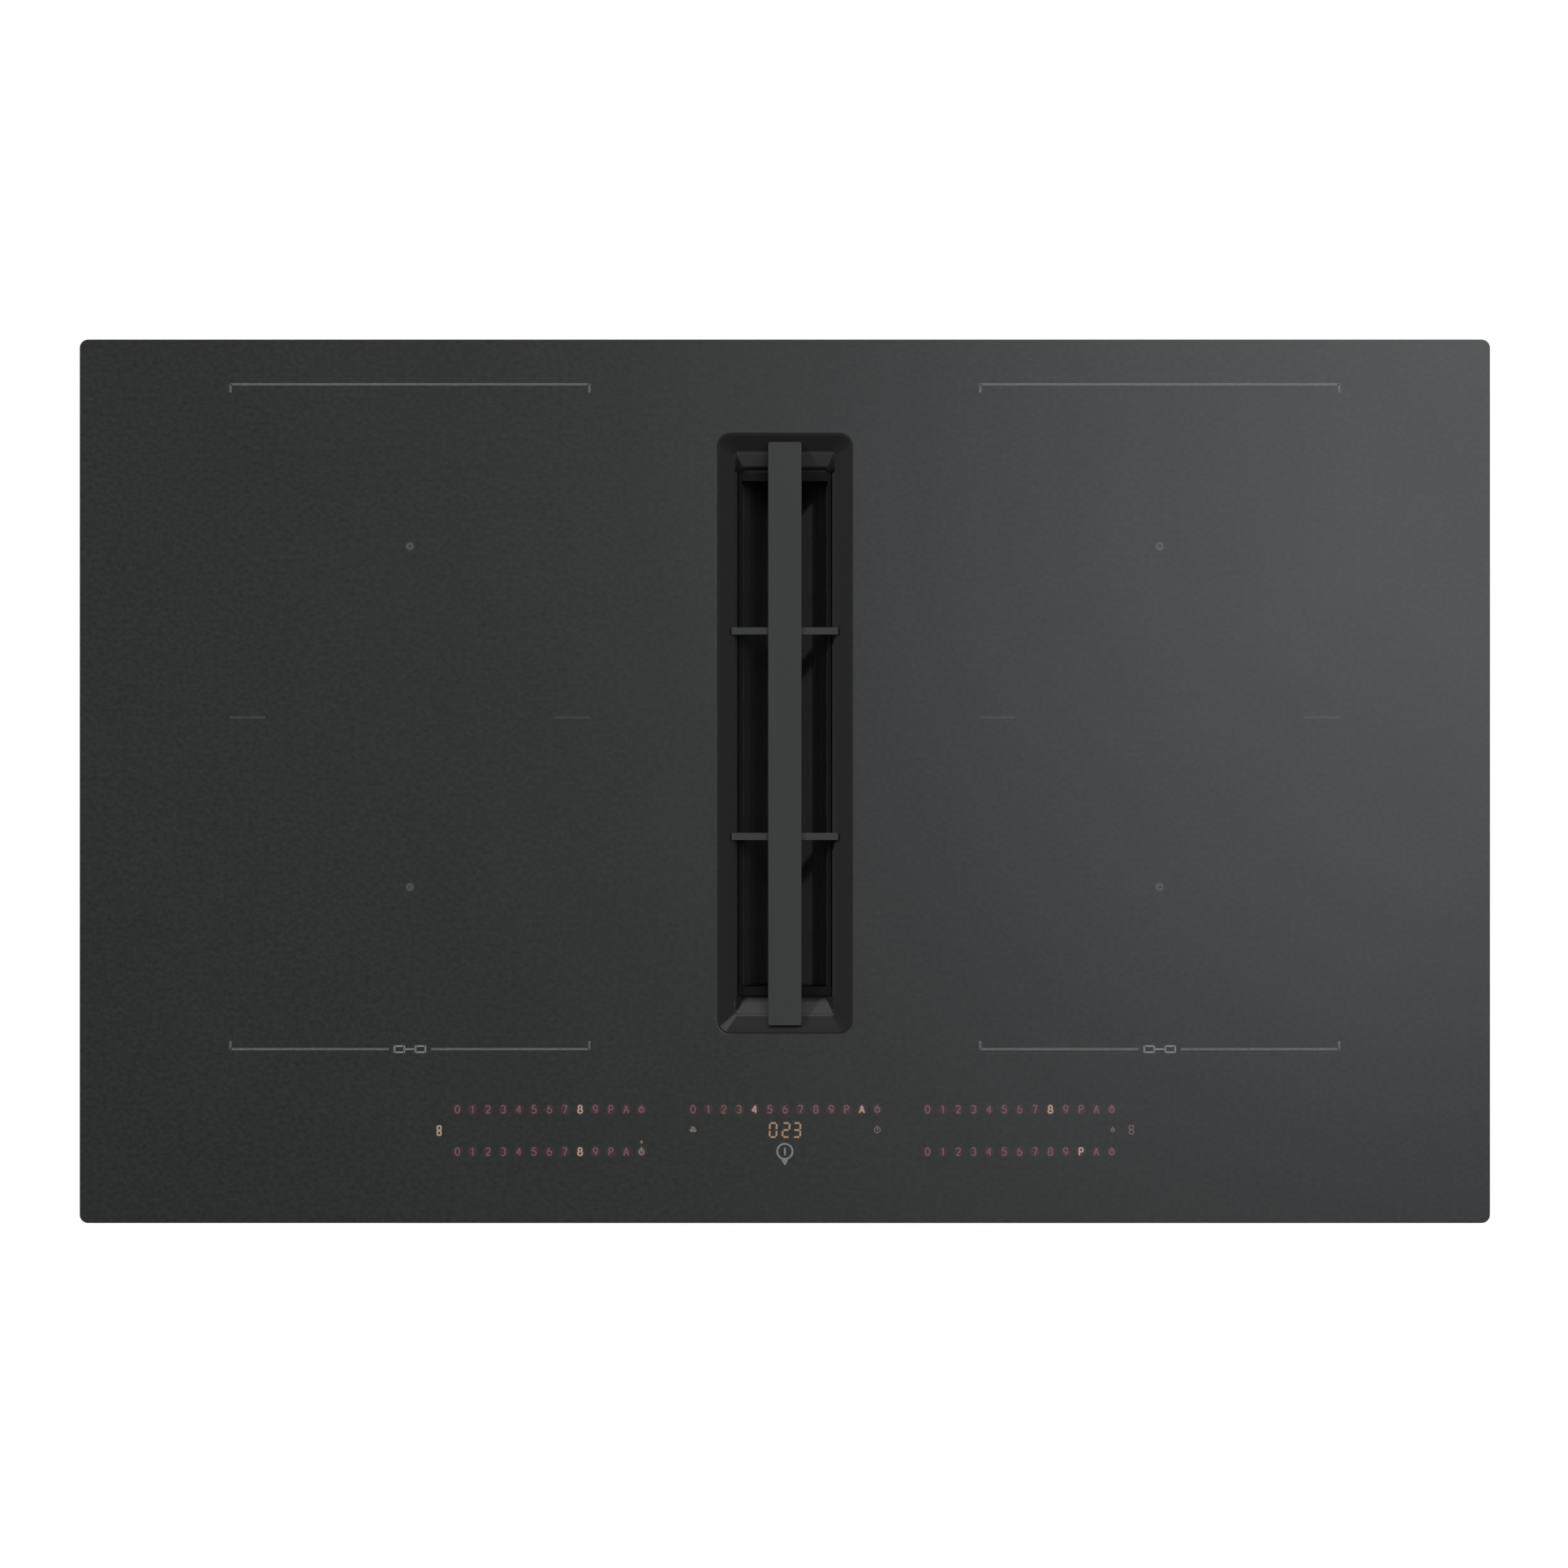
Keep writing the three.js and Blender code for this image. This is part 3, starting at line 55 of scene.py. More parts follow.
# ---------------------------------------------------------------- camera, floor and lamps
# The photograph looks straight down. A lamp at the back left casts the cover bar's shadow, one at the back
# right lights the funnel's front end, and a wide one overhead shows in the glass. The room is lighter at
# the back right, and in a gloss it fades overhead. The floor is a white sheet. All but face is in metres.
face = span("glass_panel")[1][2]
camera_rise = 3.0
camera_shift = (-0.0005, -0.0016)
picture_width = 0.9226
room_light = 0.48
room_lean = (0.5, 1.1, 0)
horizon_tip = -0.2
fade_from, fade_to, ceiling = 0.35, 0.8, 0.05
paper = 0.8
paper_seen = 0.15
paper_glow = 0.95
paper_roughness = 0.9
floor_half = 9
floor_z = -0.0005

camera = bpy.data.objects.new("camera", bpy.data.cameras.new("camera"))
camera.data.lens = camera.data.sensor_width * camera_rise / picture_width
camera.data.clip_end = 50
camera.location = (*camera_shift, face / 1000 + camera_rise)
scene.collection.objects.link(camera)
scene.camera = camera
scene.view_settings.view_transform = "Standard"


def add(tree, kind, inputs=(), **settings):
    """A shader node. inputs names its sockets, and gives each a value or the output that feeds it."""
    node = tree.nodes.new("ShaderNode" + kind)
    for key, value in settings.items():
        setattr(node, key, value)
    for key, value in dict(inputs).items():
        if isinstance(value, bpy.types.NodeSocket):
            tree.links.new(value, node.inputs[key])
        else:
            node.inputs[key].default_value = value
    return node


def mirrored(tree):
    """1 where a surface shows in a gloss or through a clear one, and 0 elsewhere."""
    path = add(tree, "LightPath").outputs
    sum_of = {0: path["Is Glossy Ray"], 1: path["Is Transmission Ray"]}
    return add(tree, "Math", sum_of, operation="MAXIMUM").outputs[0]


def seen(tree):
    """1 where a surface is seen, straight or in a gloss or clear one, and 0 where it sends light."""
    either = {0: mirrored(tree), 1: add(tree, "LightPath").outputs["Is Camera Ray"]}
    return add(tree, "Math", either, operation="MAXIMUM").outputs[0]


scene.world = bpy.data.worlds.new("studio")
scene.world.use_nodes = True
sky = scene.world.node_tree
towards = add(sky, "TexCoord").outputs["Generated"]
over_horizon = {0: towards, 1: (0, horizon_tip, 1)}
upward = add(sky, "VectorMath", over_horizon, operation="DOT_PRODUCT").outputs["Value"]
leaning = add(sky, "VectorMath", {0: towards, 1: room_lean}, operation="DOT_PRODUCT").outputs["Value"]
room = add(
    sky, "Math", {0: leaning, 1: room_light, 2: room_light}, operation="MULTIPLY_ADD", use_clamp=True
)
above = add(
    sky, "MapRange",
    {"Value": upward, "From Min": fade_from, "From Max": fade_to, "To Min": 1.0, "To Max": ceiling},
    interpolation_type="SMOOTHSTEP",
)
lit = add(sky, "Mix", {"Factor": mirrored(sky), "A": room.outputs[0], "B": above.outputs[0]})
shown = {"Factor": add(sky, "LightPath").outputs["Is Camera Ray"], "A": lit.outputs[0], "B": 1.0}
sky.nodes["Background"].inputs["Color"].default_value = (1, 1, 1, 1)
sky.links.new(add(sky, "Mix", shown).outputs[0], sky.nodes["Background"].inputs["Strength"])

floor_look = bpy.data.materials.new("white paper")
floor_look.use_nodes = True
tree = floor_look.node_tree
matt = tree.nodes["Principled BSDF"]
matt.inputs["Base Color"].default_value = (paper, paper, paper, 1)
matt.inputs["Roughness"].default_value = paper_roughness
glow = add(tree, "BsdfPrincipled", {"Base Color": (paper_seen, paper_seen, paper_seen, 1)})
glow.inputs["Roughness"].default_value = paper_roughness
glow.inputs["Emission Color"].default_value = (1, 1, 1, 1)
glow.inputs["Emission Strength"].default_value = paper_glow
both = add(tree, "MixShader", {0: seen(tree), 1: matt.outputs[0], 2: glow.outputs[0]})
tree.links.new(both.outputs[0], tree.nodes["Material Output"].inputs["Surface"])
floor_mesh = bpy.data.meshes.new("floor")
floor_corners = [
    (x * floor_half, y * floor_half, floor_z) for x, y in ((-1, -1), (1, -1), (1, 1), (-1, 1))
]
floor_mesh.from_pydata(floor_corners, [], [(0, 1, 2, 3)])
floor_mesh.materials.append(floor_look)
floor = bpy.data.objects.new("floor", floor_mesh)
scene.collection.objects.link(floor)


def lamp(name, azimuth, elevation, distance, size, watts, colour):
    """A square lamp aimed at the middle of the glass. Its azimuth is in degrees from +X."""
    a, e = math.radians(azimuth), math.radians(elevation)
    back = Vector((math.cos(a) * math.cos(e), math.sin(a) * math.cos(e), math.sin(e)))
    made = bpy.data.objects.new(name, bpy.data.lights.new(name, "AREA"))
    made.data.size, made.data.energy, made.data.color = size, watts, colour
    made.location = Vector((0, 0, face / 1000)) + distance * back
    made.rotation_euler = back.to_track_quat("Z", "Y").to_euler()
    scene.collection.objects.link(made)
    return made


key = lamp(
    "key_lamp", azimuth=143, elevation=39.5, distance=5.0, size=0.45, watts=140,
    colour=(1.0, 1.0, 0.985),
)
key.visible_glossy = False
lamp(
    "side_lamp", azimuth=45, elevation=53, distance=4.0, size=1.8, watts=40, colour=(1.0, 1.0, 1.0)
)
lamp(
    "top_lamp", azimuth=16.5, elevation=75.2, distance=3.31, size=1.0, watts=7.1,
    colour=(0.9, 0.92, 1.0),
)


# ---------------------------------------------------------------- casing
# A folded tray of zinc-coated steel that holds the electronics under the glass. Its floor has pressed
# beads that stiffen it, and screws through its walls hold the frames inside.
def node_group(name, inputs, outputs):
    """A shader node group with its named sockets, and its input and output nodes."""
    group = bpy.data.node_groups.new(name, "ShaderNodeTree")
    for label, kind, value in inputs:
        made = group.interface.new_socket(name=label, in_out="INPUT", socket_type=kind)
        made.default_value = value
    for label, kind in outputs:
        group.interface.new_socket(name=label, in_out="OUTPUT", socket_type=kind)
    return group, group.nodes.new("NodeGroupInput").outputs, group.nodes.new("NodeGroupOutput").inputs


grain, given, gives = node_group(
    "surface grain",
    [
        ("Color", "NodeSocketColor", (0.5, 0.5, 0.5, 1)),
        ("Contrast", "NodeSocketFloat", 0.1),
        ("Scale", "NodeSocketFloat", 1000.0),
        ("Stretch", "NodeSocketVector", (1, 1, 1)),
        ("Roughness", "NodeSocketFloat", 0.5),
        ("Spread", "NodeSocketFloat", 0.1),
        ("Depth", "NodeSocketFloat", 0.00002),
    ],
    [("Color", "NodeSocketColor"), ("Roughness", "NodeSocketFloat"), ("Normal", "NodeSocketVector")],
)
place = add(grain, "TexCoord").outputs["Object"]
stretched = add(grain, "VectorMath", {0: place, 1: given["Stretch"]}, operation="MULTIPLY").outputs[0]
fine = add(grain, "TexNoise", {"Vector": stretched, "Scale": given["Scale"], "Detail": 2.0}).outputs["Fac"]
slow = add(grain, "TexNoise", {"Vector": place, "Scale": 13.0, "Detail": 3.0}).outputs["Fac"]
darkest = add(grain, "Math", {0: 1.0, 1: given["Contrast"]}, operation="SUBTRACT").outputs[0]
lightest = add(grain, "Math", {0: 1.0, 1: given["Contrast"]}, operation="ADD").outputs[0]
shade = add(
    grain, "MapRange",
    {"Value": fine, "From Min": 0.25, "From Max": 0.75, "To Min": darkest, "To Max": lightest},
)
tinted = add(grain, "VectorMath", {0: given["Color"], "Scale": shade.outputs[0]}, operation="SCALE")
smoothest = add(grain, "Math", {0: given["Roughness"], 1: given["Spread"]}, operation="SUBTRACT")
roughest = add(grain, "Math", {0: given["Roughness"], 1: given["Spread"]}, operation="ADD")
worn = add(
    grain, "MapRange",
    {
        "Value": slow, "From Min": 0.3, "From Max": 0.7,
        "To Min": smoothest.outputs[0], "To Max": roughest.outputs[0],
    },
)
relief = add(grain, "Bump", {"Height": fine, "Distance": given["Depth"]})
grain.links.new(tinted.outputs[0], gives["Color"])
grain.links.new(worn.outputs[0], gives["Roughness"])
grain.links.new(relief.outputs[0], gives["Normal"])


def finish(
    name, color, roughness=0.5, contrast=0.08, scale=1500, stretch=(1, 1, 1), spread=0.05,
    depth=0.02, **shader_values,
):
    """A material with the surface grain. scale is grains per metre and depth is in millimetres."""
    material = bpy.data.materials.new(name)
    material.use_nodes = True
    tree = material.node_tree
    shader = tree.nodes["Principled BSDF"]
    texture = add(tree, "Group", node_tree=grain)
    values = {
        "Color": (*color, 1), "Contrast": contrast, "Scale": scale, "Stretch": stretch,
        "Roughness": roughness, "Spread": spread, "Depth": depth / 1000,
    }
    for label, value in values.items():
        texture.inputs[label].default_value = value
    for target, source in (("Base Color", "Color"), ("Roughness",) * 2, ("Normal",) * 2):
        tree.links.new(texture.outputs[source], shader.inputs[target])
    for label, value in shader_values.items():
        shader.inputs[label.replace("_", " ")].default_value = value
    return material


def welded(name, points, faces, look=0):
    """A mesh from points in millimetres. Points that meet become one, and faces turn outwards."""
    mesh = bpy.data.meshes.new(name)
    mesh.from_pydata((points / 1000).tolist(), [], faces.tolist())
    looks = np.ascontiguousarray(np.broadcast_to(look, len(faces)), dtype=np.int32)
    mesh.polygons.foreach_set("material_index", looks)
    build = bmesh.new()
    build.from_mesh(mesh)
    bmesh.ops.remove_doubles(build, verts=build.verts, dist=1e-7)
    bmesh.ops.recalc_face_normals(build, faces=build.faces)
    build.to_mesh(mesh)
    build.free()
    return mesh


def surface(name, points, close=(False, True), keep=None, look=0):
    """A mesh from one or more grids of points: a face joins each point to the next in its row and in
    its column. close joins the last row or column to the first, and keep says which faces stay."""
    points = points.reshape(-1, *points.shape[-3:])
    copies, rows, columns = points.shape[:3]
    grid = np.arange(rows * columns).reshape(rows, columns)
    if close[0]:
        grid = np.vstack([grid, grid[:1]])
    if close[1]:
        grid = np.hstack([grid, grid[:, :1]])
    faces = np.stack([grid[:-1, :-1], grid[:-1, 1:], grid[1:, 1:], grid[1:, :-1]], axis=-1)
    looks = np.broadcast_to(look, faces.shape[:2])
    if keep is not None:
        faces, looks = faces[keep], looks[keep]
    faces = faces.reshape(-1, 4) + (np.arange(copies) * rows * columns)[:, None, None]
    return welded(name, points.reshape(-1, 3), faces.reshape(-1, 4), np.tile(looks.ravel(), copies))


def fitted(name, mesh, looks, body, stands_for=(), ease=0.0, steps=2, sharp=32):
    """Puts a mesh in the scene as a piece that rides on a body. ease, in millimetres, rounds the edges
    that are sharper than an angle."""
    piece = bpy.data.objects.new(name, mesh)
    scene.collection.objects.link(piece)
    for look in looks if isinstance(looks, list) else [looks]:
        mesh.materials.append(look)
    mesh.shade_smooth()
    if ease:
        bevel = piece.modifiers.new("eased edges", "BEVEL")
        bevel.width, bevel.segments = ease / 1000, steps
        bevel.limit_method, bevel.angle_limit = "ANGLE", math.radians(sharp)
        bevel.harden_normals = True
    else:
        mesh.set_sharp_from_angle(angle=math.radians(sharp))
    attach(piece, body)
    if stands_for:
        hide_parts(*stands_for)
    return piece


def eased(name, node, look, body, ease, steps=2):
    """A CAD node's solid with rounded edges: its loose triangles are merged and its flat ones joined."""
    source = nodes[node].data
    points = np.zeros(3 * len(source.vertices))
    source.vertices.foreach_get("co", points)
    corners = np.zeros(len(source.loops), dtype=np.int32)
    source.loops.foreach_get("vertex_index", corners)
    mesh = welded(name, 1000 * points.reshape(-1, 3), corners.reshape(-1, 3))
    build = bmesh.new()
    build.from_mesh(mesh)
    bmesh.ops.dissolve_limit(
        build, angle_limit=math.radians(0.5), verts=build.verts, edges=build.edges
    )
    build.to_mesh(mesh)
    build.free()
    return fitted(name, mesh, look, body, [node], ease, steps)


def dressed(look, *names):
    """CAD nodes whose shape is right keep it and take a finish."""
    for name in names:
        nodes[name].data.materials.clear()
        nodes[name].data.materials.append(look)


def rounded(half_width, half_length, corner, steps=8):
    """Points round a rectangle: at each corner, its centre plus its radius at angles of a quarter."""
    angle = np.linspace(0, np.pi / 2, steps + 1) + np.arange(4)[:, None] * np.pi / 2
    x = np.array([[1], [-1], [-1], [1]]) * (half_width - corner) + corner * np.cos(angle)
    y = np.array([[1], [1], [-1], [-1]]) * (half_length - corner) + corner * np.sin(angle)
    return np.stack([x.ravel(), y.ravel()], axis=-1)


def rings(stations, centre, steps=8):
    """Rows of points: each station [half width, half length, corner, z] is a rounded rectangle."""
    rows = [
        np.insert(rounded(w, l, c, steps) + centre, 2, z, axis=1) for w, l, c, z in stations
    ]
    return np.array(rows)


def domed(stations, centre, steps=8):
    """Rings that close to a line at both ends, as on a plate or a bead."""
    outermost = (stations[0], stations[-1])
    first, last = ([max(w - l, 0), max(l - w, 0), 0, z] for w, l, _, z in outermost)
    return rings([first, *stations, last], centre, steps)


def turned_to(points, places, direction):
    """Copies of a shape that stands on z 0, set at places and turned so that its z is a direction."""
    turn = Vector(direction).to_track_quat("Z", "Y").to_matrix()
    return np.asarray(places, float)[:, None, None, :] + (points @ np.array(turn).T)[None]


def screw(radius, sides=20):
    """A pan head: rings that fall as the root of what the radius leaves, with a cross cut in it."""
    share = np.array([0.0, 0.22, 0.34, 0.36, 0.55, 0.62, 0.8, 0.93, 1.0, 1.0])[:, None]
    angle = np.linspace(0, 2 * np.pi, sides, endpoint=False)[None]
    x, y = share * radius * np.cos(angle), share * radius * np.sin(angle)
    rise = 0.5 * radius * np.sqrt(np.clip(1.04 - share**2, 0, 1)) + 0 * angle
    arm = np.minimum(abs(x), abs(y)) < 0.13 * radius
    rise = np.where(arm & (share < 0.6), rise - 0.25 * radius, rise)
    rise[-1] = -0.1
    return np.stack([x, y, rise], axis=-1)


def screws(name, radius, spots, direction, look, body):
    """Pan heads that stand on spots and face a direction."""
    heads = turned_to(screw(radius), spots, direction)
    return fitted(name, surface("screws", heads), look, body)


zinc = finish(
    "zinc-coated steel", (0.5, 0.52, 0.53), 0.36, 0.07, 90, (1, 1, 1), 0.08, 0.004, Metallic=0.9
)
tree = zinc.node_tree
flake = add(tree, "TexVoronoi", {"Vector": add(tree, "TexCoord").outputs["Object"], "Scale": 160.0})
flake_shade = add(tree, "MapRange", {"Value": flake.outputs["Color"], "To Min": 0.86, "To Max": 1.1})
flaked = add(
    tree, "VectorMath",
    {0: tree.nodes["Group"].outputs["Color"], "Scale": flake_shade.outputs[0]}, operation="SCALE",
)
tree.links.new(flaked.outputs[0], tree.nodes["Principled BSDF"].inputs["Base Color"])
bright_steel = finish("bright steel", (0.55, 0.56, 0.57), 0.3, 0.05, 800, depth=0.003, Metallic=1.0)

casing_low, casing_high = span("casing_tray")
eased("casing", "casing_tray", zinc, "hob", 0.35)
bead_depth = 1.3
bead_half_width = 5
bead_z = casing_low[2]
bead_places = [
    (-215, -205, 112), (-215, -165, 112), (-215, -125, 112), (-215, 60, 112), (-215, 100, 112),
    (215, -205, 112), (215, -165, 112), (0, -205, 60),
]
bead_slope = [(0, 0.2), (0.4, -0.2), (2, -0.8 * bead_depth), (3.6, -bead_depth)]
beads = np.array([
    domed(
        [[half - x, bead_half_width - x, bead_half_width - x, bead_z + z] for x, z in bead_slope],
        middle,
    )
    for *middle, half in bead_places
])
fitted("casing_beads", surface("casing_beads", beads), zinc, "hob")
wall_screw, wall_screw_drop = 3.2, 7
wall_screw_z = casing_high[2] - wall_screw_drop
side_screw_y = (-205, -75, 75, 205)
end_screw_x = (-330, -115, 115, 330)
for side, facing, spots in (
    ("left", (-1, 0, 0), [(casing_low[0], y, wall_screw_z) for y in side_screw_y]),
    ("right", (1, 0, 0), [(casing_high[0], y, wall_screw_z) for y in side_screw_y]),
    ("front", (0, -1, 0), [(x, casing_low[1], wall_screw_z) for x in end_screw_x]),
    ("back", (0, 1, 0), [(x, casing_high[1], wall_screw_z) for x in end_screw_x]),
):
    screws(f"casing_screws_{side}", wall_screw, spots, facing, bright_steel, "hob")


# ---------------------------------------------------------------- spring clips
# A bent leaf of spring steel on each of four plates on the casing's side walls. It presses against the
# worktop's opening, and bends at its foot.
def strip(path, width, thickness, side=None, up=(0, 0, 1)):
    """A flat bar carried along paths: at each point, four corners to both sides of the path, where a
    side is either given or square to the path and to up."""
    along = np.gradient(path, axis=1)
    along /= np.linalg.norm(along, axis=-1, keepdims=True)
    side = np.cross(up, along) if side is None else np.broadcast_to(side, path.shape).astype(float)
    out = np.cross(along, side)
    corners = [
        path + a * side * width / 2 + b * out * thickness / 2
        for a, b in ((-1, -1), (1, -1), (1, 1), (-1, 1))
    ]
    tube = np.stack(corners, axis=2)
    start, end = (np.repeat(tube[:, [i]].mean(2, keepdims=True), 4, axis=2) for i in (0, -1))
    return np.concatenate([start, tube, end], axis=1)


spring_steel = finish(
    "spring steel", (0.42, 0.43, 0.45), 0.28, 0.06, 900, (1, 1, 0.05), 0.05, 0.003, Metallic=1.0
)
leaf_thickness, leaf_points = 0.9, 15
crest, curl = 0.8, 2.6
for end in ("front", "rear"):
    for side, sign in (("left", -1), ("right", 1)):
        dressed(zinc, f"clip_plate_{end}_{side}")
        low, high = span(f"spring_clip_{end}_{side}")
        foot = low[0] if sign > 0 else high[0]
        reach, height = high[0] - low[0] - leaf_thickness, high[2] - low[2]
        t = np.linspace(0, 1, leaf_points)
        out = reach * np.where(t < crest, np.sin(t / crest * np.pi / 2), np.cos((t - crest) * curl))
        leaf_x = foot + sign * (leaf_thickness / 2 + out)
        leaf_y = np.full(leaf_points, (low[1] + high[1]) / 2)
        leaf = np.stack([leaf_x, leaf_y, low[2] + height * t], axis=-1)
        bar = strip(leaf[None], high[1] - low[1], leaf_thickness, side=(0, 1, 0))
        fitted(
            f"clip_leaf_{end}_{side}", surface("leaf", bar), spring_steel, f"{end}_{side}_clip",
            [f"spring_clip_{end}_{side}"], ease=0.25,
        )

# ---------------------------------------------------------------- induction zones
# Under each side of the glass, a pressed aluminium carrier holds two flat coils of enamelled copper
# wire on dark ferrite bars, with a sprung sensor in the middle of each and a sheet of mica on top.
aluminium = finish(
    "mill aluminium", (0.62, 0.63, 0.64), 0.38, 0.05, 700, (0.05, 1, 1), 0.06, 0.003, Metallic=1.0
)
copper = finish("enamelled copper", (0.48, 0.2, 0.1), 0.35, 0.25, 1600, depth=0.05, Metallic=0.85)
ferrite = finish("ferrite", (0.045, 0.045, 0.05), 0.6, 0.2, 2500, depth=0.02)
mica = finish("mica sheet", (0.62, 0.58, 0.48), 0.55, 0.2, 260, (1, 0.3, 1), 0.1, 0.01)
nylon = finish("white nylon", (0.72, 0.72, 0.68), 0.45, 0.03, 1800, depth=0.006)
for side in ("left", "right"):
    dressed(aluminium, f"coil_carrier_{side}")
    dressed(mica, f"mica_sheet_{side}")
    for end in ("front", "rear"):
        dressed(copper, f"coil_{end}_{side}")
        dressed(ferrite, f"ferrite_{end}_{side}")
        dressed(nylon, f"sensor_{end}_{side}")

# ---------------------------------------------------------------- electronics
# One power board for each side stands in a nylon tray under its carrier, with a finned heat sink and a
# flat fan that blows along it. The touch board stands in a black holder right under the glass.
board_green = finish("circuit board", (0.02, 0.13, 0.055), 0.38, 0.3, 420, spread=0.1, depth=0.02)
black_plastic = finish(
    "black moulding", (0.022, 0.022, 0.023), 0.48, 0.12, 2400, spread=0.06, depth=0.018
)
for side in ("left", "right"):
    dressed(nylon, f"board_tray_{side}")
    dressed(board_green, f"power_board_{side}")
    dressed(aluminium, f"heat_sink_{side}")
    dressed(black_plastic, f"cooling_fan_frame_{side}", f"cooling_fan_rotor_{side}")
dressed(board_green, "touch_board")
dressed(black_plastic, "touch_board_holder")

# ---------------------------------------------------------------- mains connection
# A moulded box under the casing's back left corner, with a hinged cover that screws shut, a nylon
# block with five brass screws, and a ribbed gland that grips the cable.
eased("mains_box", "terminal_box", black_plastic, "hob", 0.5)
eased("mains_cover", "terminal_cover", black_plastic, "terminal_lid", 0.4)
eased("mains_block", "terminal_block", nylon, "hob", 0.3)
brass = finish("brass", (0.62, 0.42, 0.14), 0.3, 0.05, 900, depth=0.003, Metallic=1.0)
low, high = span("terminal_block")
pole_count, pole_inset = 5, 15
half_pole = (high[0] - low[0]) / (2 * pole_count)
pole_x = np.linspace(low[0] + half_pole, high[0] - half_pole, pole_count)
poles = [(x, low[1] + pole_inset, low[2]) for x in pole_x]
screws("mains_block_screws", 2.6, poles, (0, 0, -1), brass, "hob")
low, high = span("terminal_cover")
cover_screw_inset, cover_recess = 6, 1.05
spots = [((low[0] + high[0]) / 2, high[1] - cover_screw_inset, low[2] + cover_recess)]
screws("mains_cover_screw", 3, spots, (0, 0, -1), bright_steel, "terminal_lid")

low, high = span("cable_gland")
axis = np.array([high[0], (low[1] + high[1]) / 2, (low[2] + high[2]) / 2])
gland_ribs, groove = 12, 0.93
turn = np.linspace(0, 2 * np.pi, 8 * gland_ribs, endpoint=False)
ribbed = np.where(np.cos(gland_ribs * turn) > 0.2, 1.0, groove)
gland_outline = [
    (6.1, -18), (7.6, -18), (8.4 * ribbed, -17.4), (9 * ribbed, -15.5), (9 * ribbed, -9),
    (8.6 * ribbed, -6.4), (7.3, -6.3), (7.3, 0), (6.1, 0),
]
gland = np.array([
    np.stack([axis[0] + x + 0 * turn, axis[1] + r * np.cos(turn), axis[2] + r * np.sin(turn)], axis=-1)
    for r, x in gland_outline
])
fitted(
    "mains_gland", surface("gland", gland, close=(True, True)), black_plastic, "hob",
    ["cable_gland"],
)


# ---------------------------------------------------------------- filter housing and overflow tray
# A moulded box under the intake, with ribs on its free walls. Spilled water runs into a tray that slides
# out at the front on two rails, by a grip with five ridges.
def bars(name, boxes, look, body, ease=0.4):
    """Moulded ribs or blocks: the eight corners of each box, from its low and high ones, with eased
    edges."""
    lows, highs = np.swapaxes(np.array(boxes, float), 0, 1)[:, :, None]
    pick = np.array([[i, j, k] for k in (0, 1) for i, j in ((0, 0), (1, 0), (1, 1), (0, 1))])
    corners = (lows + (highs - lows) * pick).reshape(-1, 2, 4, 3)
    ends = np.repeat(corners.mean(2, keepdims=True), 4, axis=2)
    grid = np.concatenate([ends[:, :1], corners, ends[:, 1:]], axis=1)
    return fitted(name, surface(name, grid), look, body, ease=ease)


eased("filter_box", "filter_housing", black_plastic, "hob", 0.6)
low, high = span("filter_housing")
rib_half, rib_out, rib_in = 0.9, 2.2, 0.3
rib_foot, rib_top = 44, 148
side_rib_inset, end_rib_x, back_gap = 30, (-50, -25, 0, 25, 50), 0.1
level_rib_z, level_rib_inset, level_rib_height = (92, 52), 8, 2
ribs = [
    ((low[0] - rib_out, y - rib_half, rib_foot), (low[0] + rib_in, y + rib_half, rib_top))
    for y in np.linspace(low[1] + side_rib_inset, high[1] - side_rib_inset, 8)
]
ribs += [
    (
        (low[0] - rib_out, low[1] + level_rib_inset, z),
        (low[0] + rib_in, high[1] - level_rib_inset, z + level_rib_height),
    )
    for z in level_rib_z
]
ribs += [
    ((x - rib_half, low[1] - rib_out, rib_foot), (x + rib_half, low[1] + rib_in, rib_top))
    for x in end_rib_x
]
ribs += [
    ((x - rib_half, high[1] + back_gap, rib_foot), (x + rib_half, high[1] + rib_out, rib_top))
    for x in end_rib_x
]
bars("filter_box_ribs", ribs, black_plastic, "hob")
eased("spill_tray", "overflow_tray", black_plastic, "overflow_drawer", 0.7)
low, high = span("overflow_tray")
grip_half, grip_height, grip_out, grip_in = 22, 1.6, 0.5, 0.3
grips = [
    ((-grip_half, low[1] - grip_out, z), (grip_half, low[1] + grip_in, z + grip_height))
    for z in (9, 14, 19, 24, 29)
]
bars("spill_tray_grips", grips, black_plastic, "overflow_drawer", 0.3)

# ---------------------------------------------------------------- blower
# A scroll of black plastic with a ribbed plenum on top, held together by screws and snap hooks round
# their flange. A motor on the scroll's floor turns the wheel. Foam seals the joint to the filter housing.
foam = finish(
    "foam", (0.035, 0.035, 0.036), 0.95, 0.5, 1100, spread=0.02, depth=0.25, Specular_IOR_Level=0.2
)
motor_paint = finish(
    "black motor paint", (0.03, 0.032, 0.034), 0.35, 0.08, 900, depth=0.01, Metallic=0.4
)
dressed(foam, "blower_seal", "outlet_seal")
dressed(motor_paint, "blower_motor")
dressed(black_plastic, "impeller")
eased("scroll_casing", "blower_lower_shell", black_plastic, "hob", 0.8)
eased("inlet_plate", "blower_inlet_plate", black_plastic, "hob", 0.5)
eased("plenum_cover", "blower_upper_shell", black_plastic, "hob", 0.9)
low, high = span("blower_lower_shell")
flange_half, boss_length, boss_narrow, boss_wide = 3, 14, 3.4, 4.6
flange_z = high[2] - flange_half
boss_spots = [(76, -117), (330, -117), (76, 60), (76, 130), (76, 196), (104, 196)]
boss = rings([[boss_narrow] * 3 + [-boss_length], [boss_wide] * 3 + [0]], (0, 0), 3)
boss = np.concatenate([boss[:1] * [0, 0, 1], boss, boss[-1:] * [0, 0, 1]])
